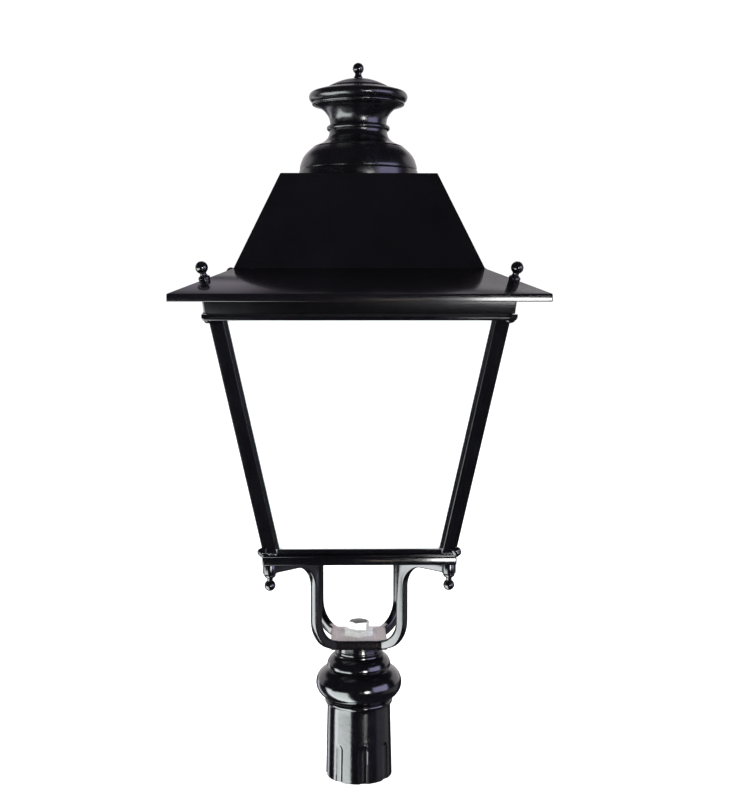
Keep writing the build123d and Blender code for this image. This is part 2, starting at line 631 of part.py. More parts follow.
def mitre_weld():
    """Lump over the front left corner of the top frame, outside the seal and under the band."""
    place = MITRE_WELD_INSET - TOP_HALF
    weld = Pos(place, place, TOP_TOP - MITRE_WELD_INSET) * Sphere(MITRE_WELD_R)
    weld &= block(-TOP_HALF, 0, -TOP_HALF, 0, (TOP_FOOT + TOP_TOP) / 2, BAND_FOOT - PLAY)
    seal_room = PLAY + SEAL_HALF
    return weld - block(-seal_room, 0, -seal_room, 0, TOP_TOP, BAND_FOOT)


def top_frame():
    """Flat frame over the uprights, with a leg behind the panels and the screw's lug."""
    frame = square_frustum(TOP_HALF - TOP_EDGE_LEAN, TOP_FOOT, TOP_HALF, TOP_TOP)
    frame -= square_frustum(TOP_INNER_HALF, TOP_FOOT - THROUGH, TOP_INNER_HALF, TOP_TOP + THROUGH)
    leg_outer = body_half(TOP_FOOT - TOP_LEG_HEIGHT) - ANGLE_THICK - PANEL_THICK - 2 * PLAY
    frame += square_ring(leg_outer, leg_outer - TOP_LEG_THICK, TOP_FOOT - TOP_LEG_HEIGHT, TOP_FOOT)
    for weld in four(mitre_weld()):
        frame += weld
    ear, hole = lug(TOP_FOOT, TOP_HALF - LUG_ROOT, ROOF_SCREW_R + PLAY)
    return frame + ear - hole


def roof_seal():
    return square_ring(SEAL_HALF, SEAL_HALF - SEAL_WIDTH, TOP_TOP, BAND_FOOT)


# ---- hinge and screw of the roof --------------------------------------------------------
def along_hinge(outline, start, end):
    """Solid of a closed outline of x and z, from y start to y end, at the first hinge."""
    middle = -HINGE_SPACING / 2
    face = Plane.XZ * make_face(outline)
    return Pos(0, middle + end, 0) * extrude(face, end - start)


def knuckle(start, end):
    barrel = Pos(HINGE_X, -HINGE_SPACING / 2 + (start + end) / 2, HINGE_Z) * Rot(90, 0, 0)
    return barrel * Cylinder(KNUCKLE_R, end - start)


def pin_hole(radius):
    middle = Pos(HINGE_X, -HINGE_SPACING / 2, HINGE_Z) * Rot(90, 0, 0)
    return middle * Cylinder(radius, HINGE_LENGTH + 2 * THROUGH)


def both_hinges(solid):
    return [solid, Pos(0, HINGE_SPACING, 0) * solid]


def hinge_lower_leaves():
    """Leaf under the edge of the top frame, with the two outer knuckles."""
    half = HINGE_LENGTH / 2
    third = HINGE_LENGTH / 6 + KNUCKLE_GAP
    wall = HINGE_X - KNUCKLE_R
    under = TOP_FOOT - LEAF_THICK
    leaf_end = -body_half(TOP_FOOT) - PLAY
    leaf = along_hinge(Polyline((wall, under), (leaf_end, under), (leaf_end, TOP_FOOT),
                                (wall + LEAF_THICK, TOP_FOOT), (wall + LEAF_THICK, HINGE_Z),
                                (wall, HINGE_Z), close=True), -half, half)
    leaf += knuckle(-half, -third) + knuckle(third, half)
    gap_left = wall - THROUGH
    gap_right = wall + LEAF_THICK + THROUGH
    gap_top = HINGE_Z + THROUGH
    leaf -= along_hinge(Polyline((gap_left, TOP_FOOT), (gap_right, TOP_FOOT), (gap_right, gap_top),
                                 (gap_left, gap_top), close=True), -third, third)
    return both_hinges(leaf - pin_hole(HINGE_PIN_R + RUNNING))


def hinge_upper_leaves():
    """Leaf on the outside of the canopy's band, with the middle knuckle."""
    half = HINGE_LENGTH / 2
    third = HINGE_LENGTH / 6
    foot = HINGE_Z + KNUCKLE_R
    head = BAND_TOP - LEAF_INSET
    outer = -BAND_TOP_HALF - LEAF_THICK
    lean = BAND_FLARE / BAND_HEIGHT
    inner_foot = -BAND_FOOT_HALF - lean * (foot - BAND_FOOT)
    inner_head = -BAND_FOOT_HALF - lean * (head - BAND_FOOT)
    plate = along_hinge(Polyline((outer, foot), (inner_foot, foot), (inner_head, head), (outer, head),
                                 close=True), -half, half)
    root = inner_foot - LEAF_THICK / 2
    web = along_hinge(Polyline((HINGE_X, foot - LEAF_THICK), (root, foot - PLAY), (root, foot + LEAF_THICK),
                               (HINGE_X, foot), close=True), -third, third)
    leaf = plate + web + knuckle(-third, third)
    return both_hinges(leaf - pin_hole(HINGE_PIN_R + RUNNING))


def hinge_pins():
    pin = Pos(HINGE_X, -HINGE_SPACING / 2, HINGE_Z) * Rot(90, 0, 0) * Cylinder(HINGE_PIN_R, HINGE_LENGTH)
    return both_hinges(pin)


def roof_screw():
    """Knurled screw that stays in the lug of the top frame and enters the roof's lug."""
    collar_top = TOP_FOOT - PLAY
    knob_top = collar_top - KNOB_COLLAR_HEIGHT
    knob = rod(KNOB_R, knob_top - KNOB_HEIGHT, knob_top)
    knob = chamfer(knob.edges().filter_by(GeomType.CIRCLE), KNOB_EDGE)
    screw = knob + rod(KNOB_COLLAR_R, knob_top, collar_top)
    screw += rod(ROOF_SCREW_R, collar_top, BAND_FOOT + TOP_THICK + ROOF_SCREW_END)
    return Pos(SCREW_X, 0, 0) * screw


def screw_clip():
    foot = TOP_TOP + PLAY
    ring = rod(SCREW_CLIP_R, foot, foot + SCREW_CLIP_THICK)
    ring -= rod(ROOF_SCREW_R + RUNNING, foot - THROUGH, foot + SCREW_CLIP_THICK + THROUGH)
    return Pos(SCREW_X, 0, 0) * ring


# ---- canopy -----------------------------------------------------------------------------
def canopy_band():
    """Slightly leaning band with an inward flange at its foot and the screw's lug."""
    band = square_frustum(BAND_FOOT_HALF, BAND_FOOT, BAND_TOP_HALF, BAND_TOP)
    cut_top = BAND_TOP + THROUGH
    band -= square_frustum(BAND_FOOT_HALF - BAND_THICK, TRAY_FOOT, BAND_TOP_HALF - BAND_THICK, cut_top)
    band -= square_frustum(BAND_FLANGE_HALF, BAND_FOOT - THROUGH, BAND_FLANGE_HALF, cut_top)
    ear, hole = lug(BAND_FOOT, BAND_FOOT_HALF - BAND_THICK / 2, ROOF_SCREW_R + PLAY)
    band += ear
    for x, y in tray_screw_places():
        band -= rod(TRAY_SCREW_R + RUNNING, BAND_FOOT - THROUGH, TRAY_FOOT + THROUGH, x, y)
    return band - hole


def hip_place():
    """Place and lean of the finial of the front left corner, square to the hip."""
    rise = SKIRT_SLOPE / sqrt(2)
    lean = degrees(atan2(rise, 1))
    z = EAVE_TOP + (EAVE_HALF - FINIAL_HALF) * SKIRT_SLOPE
    return Pos(-FINIAL_HALF, -FINIAL_HALF, z) * Rot(0, 0, 225) * Rot(0, lean, 0)


def eave_skirt():
    """Sheet of the eaves: slope, narrow fascia and soffit, with a flange for the steep roof."""
    cosine = cos(atan2(SKIRT_SLOPE, 1))
    drop = SHEET / cosine
    skirt = square_frustum(EAVE_HALF, EAVE_TOP, FOLD_HALF, FOLD_TOP)
    skirt += square_frustum(EAVE_HALF, BAND_TOP, EAVE_HALF, EAVE_TOP)
    room_half = EAVE_HALF - SHEET
    skirt -= square_frustum(room_half, EAVE_TOP - drop + SHEET * SKIRT_SLOPE, FOLD_HALF, FOLD_TOP - drop)
    skirt -= square_frustum(room_half, SOFFIT_TOP, room_half, EAVE_TOP - drop + SHEET * SKIRT_SLOPE)
    lap_half = FOLD_HALF - SKIRT_LAP
    skirt -= square_frustum(BAND_FLANGE_HALF, BAND_TOP - THROUGH, BAND_FLANGE_HALF, SOFFIT_TOP + THROUGH)
    skirt -= square_frustum(lap_half, FOLD_TOP - drop - THROUGH, lap_half, FOLD_TOP + THROUGH)
    for hole in four(hip_place() * Cylinder(FINIAL_STUD_R + PLAY, 4 * (SHEET + FINIAL_NUT_HEIGHT))):
        skirt -= hole
    return skirt


def steep_roof():
    """Four steep faces with a flat top that carries the chimney."""
    slope = (FOLD_HALF - ROOF_TOP_HALF) / ROOF_RISE
    wall = SHEET * sqrt(1 + slope ** 2)
    roof = square_frustum(FOLD_HALF, FOLD_TOP, ROOF_TOP_HALF, ROOF_TOP)
    inner_top = ROOF_TOP - SHEET
    roof -= square_frustum(FOLD_HALF - wall, FOLD_TOP, ROOF_TOP_HALF - wall + SHEET * slope, inner_top)
    roof -= rod(ROOF_VENT_R, inner_top - THROUGH, ROOF_TOP + THROUGH)
    return roof


def chimney_base():
    """Spun dome on a low plinth, with the groove that parts them."""
    groove = ROOF_TOP + PLINTH_HEIGHT
    dome_foot = (PLINTH_R - DOME_FOOT_IN, groove + GROOVE_HEIGHT)
    dome_middle = (PLINTH_R - DOME_MIDDLE_IN, groove + DOME_HEIGHT / 2)
    shoulder = (SHOULDER_R, DOME_TOP - SHOULDER_EDGE)
    inner_foot_r = PLINTH_R - PLINTH_SEAT
    inner_middle = (PLINTH_R - DOME_MIDDLE_IN - PLINTH_SEAT, groove + DOME_HEIGHT / 2)
    inner_shoulder = (SHOULDER_R - PLINTH_SEAT, DOME_TOP - CHIMNEY_WALL)
    outline = Polyline((inner_foot_r, ROOF_TOP), (PLINTH_R, ROOF_TOP), (PLINTH_R, groove),
                       (PLINTH_R - GROOVE_DEPTH, groove + GROOVE_HEIGHT / 2), dome_foot)
    outline += ThreePointArc(dome_foot, dome_middle, shoulder)
    outline += Polyline(shoulder, (SHOULDER_R - SHOULDER_EDGE, DOME_TOP), (ROD_R + PLAY, DOME_TOP),
                        (ROD_R + PLAY, DOME_TOP - CHIMNEY_WALL), inner_shoulder)
    outline += ThreePointArc(inner_shoulder, inner_middle, (inner_foot_r, groove))
    outline += Line((inner_foot_r, groove), (inner_foot_r, ROOF_TOP))
    return turned(outline)


def chimney_neck():
    """Spun neck: sloping foot, throat, bead and the bell that flares under the lid."""
    foot_r = SHOULDER_R - SHOULDER_EDGE
    ledge_top = DOME_TOP + 0.22 * THROAT_HEIGHT
    throat = BEAD_FOOT - 0.12 * THROAT_HEIGHT
    bell_top = LID_FOOT - BELL_RIM
    outline = Polyline((ROD_R + PLAY, DOME_TOP), (foot_r, DOME_TOP), (foot_r, DOME_TOP + SHOULDER_EDGE),
                       (THROAT_FOOT_R, ledge_top))
    outline += Spline((THROAT_FOOT_R, ledge_top), (THROAT_R, throat), tangents=((-1, 0.45), (0, 1)))
    outline += Line((THROAT_R, throat), (THROAT_R, BEAD_FOOT))
    outline += ThreePointArc((THROAT_R, BEAD_FOOT), (THROAT_R + BEAD_SWELL, (BEAD_FOOT + BEAD_TOP) / 2),
                             (BELL_FOOT_R, BEAD_TOP))
    outline += Spline((BELL_FOOT_R, BEAD_TOP), (BELL_TOP_R, bell_top), tangents=((0, 1), (1, 0.12)))
    inner_r = THROAT_R - CHIMNEY_WALL
    inner_top = LID_FOOT - CHIMNEY_WALL
    outline += Polyline((BELL_TOP_R, bell_top), (BELL_TOP_R, LID_FOOT), (ROD_R + PLAY, LID_FOOT),
                        (ROD_R + PLAY, inner_top), (inner_r, inner_top - CHIMNEY_WALL),
                        (inner_r, DOME_TOP + CHIMNEY_WALL), (ROD_R + PLAY, DOME_TOP + CHIMNEY_WALL),
                        (ROD_R + PLAY, DOME_TOP))
    return turned(outline)


def cap_lid():
    """Turned lid: thin step, heavy rolled rim, sloping shoulder and low dome."""
    step_top = LID_FOOT + LID_STEP_HEIGHT
    rim_top = LID_FOOT + LID_RIM_HEIGHT
    dome_foot = LID_FOOT + LID_DOME_FOOT
    step_r = LID_STEP_R - LID_EDGE
    rim = (LID_R - LID_RIM_TOP_IN, rim_top)
    hollow = ((rim[0] + LID_DOME_R) / 2, 0.35 * rim_top + 0.65 * dome_foot)
    outline = Polyline((ROD_R + PLAY, LID_FOOT), (step_r, LID_FOOT))
    outline += ThreePointArc((step_r, LID_FOOT), (LID_STEP_R, LID_FOOT + LID_STEP_HEIGHT / 2), (step_r, step_top))
    outline += ThreePointArc((step_r, step_top), (LID_R, (step_top + rim_top) / 2), rim)
    outline += ThreePointArc(rim, hollow, (LID_DOME_R, dome_foot))
    outline += ThreePointArc((LID_DOME_R, dome_foot), (0.55 * LID_DOME_R, LID_TOP - LID_DOME_FALL),
                             (ROD_R + PLAY, LID_TOP))
    outline += Line((ROD_R + PLAY, LID_TOP), (ROD_R + PLAY, LID_FOOT))
    return turned(outline)


def top_ball():
    """Small ball on a flared foot, threaded on the end of the chimney's rod."""
    ball_z = TOP_BALL_LIFT
    neck_z = ball_z - sqrt(TOP_BALL_R ** 2 - TOP_BALL_NECK_R ** 2)
    outline = Line((0, 0), (TOP_BALL_FOOT_R, 0))
    outline += ThreePointArc((TOP_BALL_FOOT_R, 0), (TOP_BALL_NECK_R + PLAY, neck_z / 2), (TOP_BALL_NECK_R, neck_z))
    outline += ThreePointArc((TOP_BALL_NECK_R, neck_z), (TOP_BALL_R, ball_z), (0, ball_z + TOP_BALL_R))
    outline += Line((0, ball_z + TOP_BALL_R), (0, 0))
    ball = Pos(0, 0, LID_TOP) * turned(outline)
    return ball - rod(ROD_R + RUNNING, LID_TOP - THROUGH, LID_TOP + TOP_BALL_LIFT / 2)


def cap_rod():
    return rod(ROD_R, ROD_NUT_FOOT - ROD_END, LID_TOP + TOP_BALL_LIFT / 2 - PLAY)


def cap_crossbar():
    reach = ROOF_VENT_R + CROSSBAR_LAP
    half = CROSSBAR_WIDTH / 2
    bar = block(-reach, reach, -half, half, CROSSBAR_FOOT, ROOF_TOP - SHEET)
    return bar - rod(ROD_R + PLAY, CROSSBAR_FOOT - THROUGH, ROOF_TOP)


def rod_nut():
    nut = hexagon(ROD_NUT_FLATS, ROD_NUT_HEIGHT)
    nut -= rod(ROD_R + RUNNING, -THROUGH, ROD_NUT_HEIGHT + THROUGH)
    return Pos(0, 0, ROD_NUT_FOOT) * nut


def roof_finial():
    """Ball, neck and collar on the hip of the front left corner, its foot cut to the ridge."""
    neck_r = FINIAL_NECK_R
    ball_z = FINIAL_LIFT
    neck_z = ball_z - sqrt(FINIAL_BALL_R ** 2 - neck_r ** 2)
    rim_r = FINIAL_COLLAR_R - FINIAL_COLLAR_EDGE
    shoulder = (rim_r, FINIAL_COLLAR_HEIGHT)
    outline = Line((0, -FINIAL_COLLAR_HEIGHT), (FINIAL_COLLAR_R, -FINIAL_COLLAR_HEIGHT))
    outline += Line((FINIAL_COLLAR_R, -FINIAL_COLLAR_HEIGHT), (FINIAL_COLLAR_R, FINIAL_COLLAR_EDGE))
    outline += RadiusArc((FINIAL_COLLAR_R, FINIAL_COLLAR_EDGE), shoulder, -2 * FINIAL_COLLAR_EDGE)
    outline += Polyline(shoulder, (neck_r, (FINIAL_COLLAR_HEIGHT + neck_z) / 2), (neck_r, neck_z))
    outline += ThreePointArc((neck_r, neck_z), (FINIAL_BALL_R, ball_z), (0, ball_z + FINIAL_BALL_R))
    outline += Line((0, ball_z + FINIAL_BALL_R), (0, -FINIAL_COLLAR_HEIGHT))
    finial = hip_place() * turned(outline)
    finial -= square_frustum(EAVE_HALF, EAVE_TOP, FOLD_HALF, FOLD_TOP)
    stud_foot = -2 * (SHEET + FINIAL_NUT_HEIGHT / 2) - FINIAL_STUD_R
    return finial + hip_place() * rod(FINIAL_STUD_R, stud_foot, FINIAL_COLLAR_HEIGHT)


def finial_nut():
    """Nut under the hip, as high as the two slopes of the sheet let its corners go."""
    slope_angle = atan2(SKIRT_SLOPE, 1)
    hip_lean = atan2(SKIRT_SLOPE / sqrt(2), 1)
    corner_drop = FINIAL_NUT_FLATS / 2 / cos(radians(30)) * sin(hip_lean)
    top = -SHEET * cos(hip_lean) / cos(slope_angle) - corner_drop
    nut = hexagon(FINIAL_NUT_FLATS, FINIAL_NUT_HEIGHT)
    nut -= rod(FINIAL_STUD_R + RUNNING, -THROUGH, FINIAL_NUT_HEIGHT + THROUGH)
    return hip_place() * Pos(0, 0, top - FINIAL_NUT_HEIGHT - RUNNING) * nut


# ---- gear inside the canopy ---------------------------------------------------------------
def tray_screw_places():
    return [(x * TRAY_SCREW_HALF, y * TRAY_SCREW_SIDE) for x in (-1, 1) for y in (-1, 1)]


def gear_tray():
    """Folded plate that closes the canopy from below."""
    top = TRAY_FOOT + SHEET
    tray = square_ring(TRAY_HALF, LAMP_CAP_R + WIRE_HOLE_MARGIN, TRAY_FOOT, top)
    tray += square_ring(TRAY_HALF, TRAY_HALF - SHEET, TRAY_FOOT, TRAY_FOOT + TRAY_EDGE - SHEET)
    for x, y in tray_screw_places():
        tray -= rod(TRAY_SCREW_R + RUNNING, TRAY_FOOT - THROUGH, top + THROUGH, x, y)
    return tray


def tray_screws():
    """Round-headed screws from below, through the flange of the band into the tray."""
    head = rod(TRAY_SCREW_HEAD_R, BAND_FOOT - TRAY_SCREW_HEAD_HEIGHT, BAND_FOOT)
    head = fillet(head.edges().group_by(Axis.Z)[0], TRAY_SCREW_HEAD_HEIGHT / 2)
    screw = head + rod(TRAY_SCREW_R, BAND_FOOT, TRAY_FOOT + SHEET + TRAY_SCREW_END)
    return [Pos(x, y, 0) * screw for x, y in tray_screw_places()]


def control_gear():
    foot = TRAY_FOOT + SHEET
    case = block(-GEAR_LENGTH / 2, GEAR_LENGTH / 2, GEAR_BACK - GEAR_WIDTH / 2, GEAR_BACK + GEAR_WIDTH / 2,
                 foot, foot + GEAR_HEIGHT)
    case = fillet(case.edges().filter_by(Axis.Z) + case.edges().group_by(Axis.Z)[-1], GEAR_EDGE_R)
    ear_end = GEAR_LENGTH / 2 + GEAR_EAR_LENGTH
    ear_side = GEAR_EAR_WIDTH / 2
    return case + block(-ear_end, ear_end, GEAR_BACK - ear_side, GEAR_BACK + ear_side, foot,
                        foot + GEAR_EAR_THICK)


def terminal_block():
    foot = TRAY_FOOT + SHEET
    case = block(-TERMINAL_LENGTH / 2, TERMINAL_LENGTH / 2, -GEAR_BACK - TERMINAL_WIDTH / 2,
                 -GEAR_BACK + TERMINAL_WIDTH / 2, foot, foot + TERMINAL_HEIGHT)
    pitch = TERMINAL_LENGTH / TERMINAL_COUNT
    top = foot + TERMINAL_HEIGHT
    for index in range(TERMINAL_COUNT):
        x = (index + 0.5) * pitch - TERMINAL_LENGTH / 2
        case -= rod(TERMINAL_HOLE_R, top - TERMINAL_HOLE_DEPTH, top + THROUGH, x, -GEAR_BACK)
    return case


def lamp_holder():
    """Round holder hung under the tray, its skirt open downwards for the lamp's cap."""
    foot = TRAY_FOOT - HOLDER_HEIGHT
    bore_r = LAMP_CAP_R + PLAY
    bore_top = foot + LAMP_CAP_HEIGHT + PLAY
    neck_r = HOLDER_R - HOLDER_EDGE
    neck_z = TRAY_FOOT - HOLDER_TOP_HEIGHT
    outline = Polyline((0, TRAY_FOOT), (HOLDER_TOP_R, TRAY_FOOT), (neck_r, neck_z),
                       (HOLDER_R, neck_z - HOLDER_EDGE), (HOLDER_R, foot + HOLDER_EDGE), (neck_r, foot),
                       (bore_r, foot), (bore_r, bore_top), (0, bore_top), close=True)
    return turned(outline)


def lamp():
    """Globe lamp, cap up."""
    cap_foot = TRAY_FOOT - HOLDER_HEIGHT
    globe_z = cap_foot - LAMP_NECK - LAMP_R
    cap_top = cap_foot + LAMP_CAP_HEIGHT
    glass_top = (LAMP_CAP_R - LAMP_NECK_IN, cap_foot - 2 * LAMP_NECK_IN)
    meet_r = 0.62 * LAMP_R
    meet_z = globe_z + sqrt(LAMP_R ** 2 - meet_r ** 2)
    outline = Polyline((0, cap_top), (LAMP_CAP_R - LAMP_CAP_EDGE, cap_top), (LAMP_CAP_R, cap_top - LAMP_CAP_EDGE),
                       (LAMP_CAP_R, cap_foot), glass_top)
    outline += Spline(glass_top, (meet_r, meet_z), tangents=((0, -1), (1, -1.2)))
    outline += ThreePointArc((meet_r, meet_z), (LAMP_R, globe_z), (0, globe_z - LAMP_R))
    outline += Line((0, globe_z - LAMP_R), (0, cap_top))
    return turned(outline)


# ---- every node, by name ------------------------------------------------------------------
def all_nodes():
    nodes = {
        "post_head": post_head(), "post_set_screws": post_set_screws(), "bracket": bracket(),
        "hub_nut": hub_nut(), "hub_bolt": hub_bolt(), "base_ring": base_ring(),
        "bottom_frame": bottom_frame(), "bottom_plate": bottom_plate(), "cable_gland": cable_gland(),
        "gland_locknut": gland_locknut(), "top_frame": top_frame(), "roof_seal": roof_seal(),
        "hinge_lower_leaves": hinge_lower_leaves(), "hinge_pins": hinge_pins(),
        "hinge_upper_leaves": hinge_upper_leaves(), "canopy_band": canopy_band(),
        "eave_skirt": eave_skirt(), "steep_roof": steep_roof(), "chimney_base": chimney_base(),
        "chimney_neck": chimney_neck(), "cap_lid": cap_lid(), "top_ball": top_ball(),
        "cap_rod": cap_rod(), "cap_crossbar": cap_crossbar(), "rod_nut": rod_nut(),
        "finial_nuts": four(finial_nut()), "gear_tray": gear_tray(), "tray_screws": tray_screws(),
        "control_gear": control_gear(), "terminal_block": terminal_block(),
        "lamp_holder": lamp_holder(), "lamp": lamp(), "roof_screw": roof_screw(),
        "screw_clip": screw_clip(),
    }
    corner_pieces = {"ball_bolt": ball_bolt(), "upright": upright(),
                     "corner_retainer": corner_retainer(), "roof_finial": roof_finial()}
    for name, solid in corner_pieces.items():
        for corner, placed in zip(CORNERS, four(solid)):
            nodes[f"{name}_{corner}"] = placed
    beads = [four(bead) for bead in glazing_beads()]
    for index, (side, placed) in enumerate(zip(SIDES, four(panel()))):
        nodes[f"panel_{side}"] = placed
        nodes[f"glazing_beads_{side}"] = [bead[index] for bead in beads]
    return nodes


os.makedirs("parts", exist_ok=True)
for node_name, node_shape in all_nodes().items():
    if isinstance(node_shape, list):
        node_shape = Compound(children=node_shape)
    export_step(node_shape, f"parts/{node_name}.step")
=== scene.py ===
"""Post top lantern: the looks of its pieces, built round the CAD part in the same frame."""

from math import atan2, cos, pi, radians, sin, sqrt, tan

import bmesh
import bpy
from mathutils import Matrix, Vector, noise


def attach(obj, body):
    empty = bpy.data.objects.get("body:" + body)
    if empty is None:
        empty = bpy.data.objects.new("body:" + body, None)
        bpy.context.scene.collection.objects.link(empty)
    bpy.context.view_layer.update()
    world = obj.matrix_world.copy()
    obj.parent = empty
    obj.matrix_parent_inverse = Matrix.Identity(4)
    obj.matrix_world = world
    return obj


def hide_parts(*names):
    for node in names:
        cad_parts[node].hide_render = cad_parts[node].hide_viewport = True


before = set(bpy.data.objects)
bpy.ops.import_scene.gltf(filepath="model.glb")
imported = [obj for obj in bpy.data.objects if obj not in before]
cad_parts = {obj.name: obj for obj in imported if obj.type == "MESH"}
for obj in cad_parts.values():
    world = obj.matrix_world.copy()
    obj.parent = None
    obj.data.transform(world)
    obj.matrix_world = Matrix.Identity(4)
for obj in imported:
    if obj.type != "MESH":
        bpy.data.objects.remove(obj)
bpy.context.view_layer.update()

# ---- Post head -------------------------------------------------------------------------
# The turned and fluted casting on top of the post: two swelled rings over a slightly
# tapered shaft with eight round-topped flutes. Cast, turned and painted gloss black.
MM = 0.001
SOCKET_R = 30.3
SOCKET_DEPTH = 110
SHAFT_FOOT_R = 42.7
SHAFT_TAPER = 2.1 / 94
FLUTES = 8
FLUTE_TURN = 7.5        # degrees from the front to the first flute
FLUTE_HALF = 6.2
FLUTE_DEEP = 2.0
FLUTE_TOP = 49.0 - FLUTE_HALF   # where the round end of a flute begins
HEAD_TOP = 160.5
BOLT_HOLE_R = 8.05
BOLT_HOLE_FOOT = 121.5
BLACK = (0.0016, 0.0015, 0.0021, 1)
BLUE_BLACK = (0.0026, 0.0025, 0.0038, 1)
WORN_AND_HIGHLIT_EDGE = (0.2, 0.2, 0.2, 1)     # colour of a lightened edge: partly worn paint, partly a painted highlight
COAT_ROUGHNESS = 0.06
GRAIN_DEPTH = 0.0004


def arc(start, via, end, steps=12):
    """Points of the round line from start through via to end."""
    (ax, ay), (vx, vy), (bx, by) = start, via, end
    a2, v2, b2 = ax * ax + ay * ay, vx * vx + vy * vy, bx * bx + by * by
    d = 2 * (ax * (vy - by) + vx * (by - ay) + bx * (ay - vy))
    cx = (a2 * (vy - by) + v2 * (by - ay) + b2 * (ay - vy)) / d
    cy = (a2 * (bx - vx) + v2 * (ax - bx) + b2 * (vx - ax)) / d
    first = atan2(ay - cy, ax - cx)
    sweep = (atan2(by - cy, bx - cx) - first) % (2 * pi)
    if (atan2(vy - cy, vx - cx) - first) % (2 * pi) > sweep:
        sweep -= 2 * pi
    radius = sqrt((ax - cx) ** 2 + (ay - cy) ** 2)
    angles = [first + sweep * k / steps for k in range(steps + 1)]
    return [(cx + radius * cos(a), cy + radius * sin(a)) for a in angles]


def rounded(points, steps=4):
    """Chain of points; one with a third number is a corner of that radius."""
    chain = []
    for i, point in enumerate(points):
        if len(point) == 2 or not 0 < i < len(points) - 1:
            chain.append(tuple(point[:2]))
            continue
        corner = Vector(point[:2])
        back = (Vector(points[i - 1][:2]) - corner).normalized()
        ahead = (Vector(points[i + 1][:2]) - corner).normalized()
        half = back.angle(ahead) / 2
        reach = point[2] / tan(half)
        centre = corner + (back + ahead).normalized() * point[2] / sin(half)
        via = centre - (back + ahead).normalized() * point[2]
        chain += arc(tuple(corner + back * reach), tuple(via), tuple(corner + ahead * reach), steps)
    return chain


def flowing(points, steps=6):
    """Smooth chain through the points."""
    chain = [points[0]]
    ends = [points[0]] + list(points) + [points[-1]]
    for a, b, c, d in zip(ends, ends[1:], ends[2:], ends[3:]):
        a, b, c, d = (Vector(p) for p in (a, b, c, d))
        for k in range(1, steps + 1):
            t = k / steps
            chain.append(tuple(0.5 * (2 * b + (c - a) * t + (2 * a - 5 * b + 4 * c - d) * t * t
                                      + (3 * b - a - 3 * c + d) * t ** 3)))
    return chain


def spun(chain, steps=96, turn=0.0):
    """Shape turned round Z from a chain of radius and height; a radius of 0 closes it."""
    mesh = bmesh.new()
    verts = [mesh.verts.new((r * cos(turn) * MM, r * sin(turn) * MM, z * MM)) for r, z in chain]
    edges = [mesh.edges.new(pair) for pair in zip(verts, verts[1:])]
    bmesh.ops.spin(mesh, geom=verts + edges, cent=(0, 0, 0), axis=(0, 0, 1), angle=2 * pi,
                   steps=steps, use_merge=True)
    bmesh.ops.remove_doubles(mesh, verts=mesh.verts, dist=1e-7)
    return mesh


def rod(radius, foot, top, steps):
    """Plain cylinder round Z."""
    return spun([(0, foot), (radius, foot), (radius, top), (0, top)], steps)


def finished(name, mesh, looks, body, slot, *nodes, sharp=32):
    """Piece made from a mesh, with its materials, body and the nodes it stands for; the slot is not
    used.
    """
    bmesh.ops.recalc_face_normals(mesh, faces=mesh.faces)
    data = bpy.data.meshes.new(name)
    mesh.to_mesh(data)
    mesh.free()
    for face in data.polygons:
        face.use_smooth = True
    data.set_sharp_from_angle(angle=radians(sharp))
    for look in looks if isinstance(looks, list) else [looks]:
        data.materials.append(look)
    piece = bpy.data.objects.new(name, data)
    bpy.context.scene.collection.objects.link(piece)
    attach(piece, body)
    if nodes:
        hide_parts(*nodes)


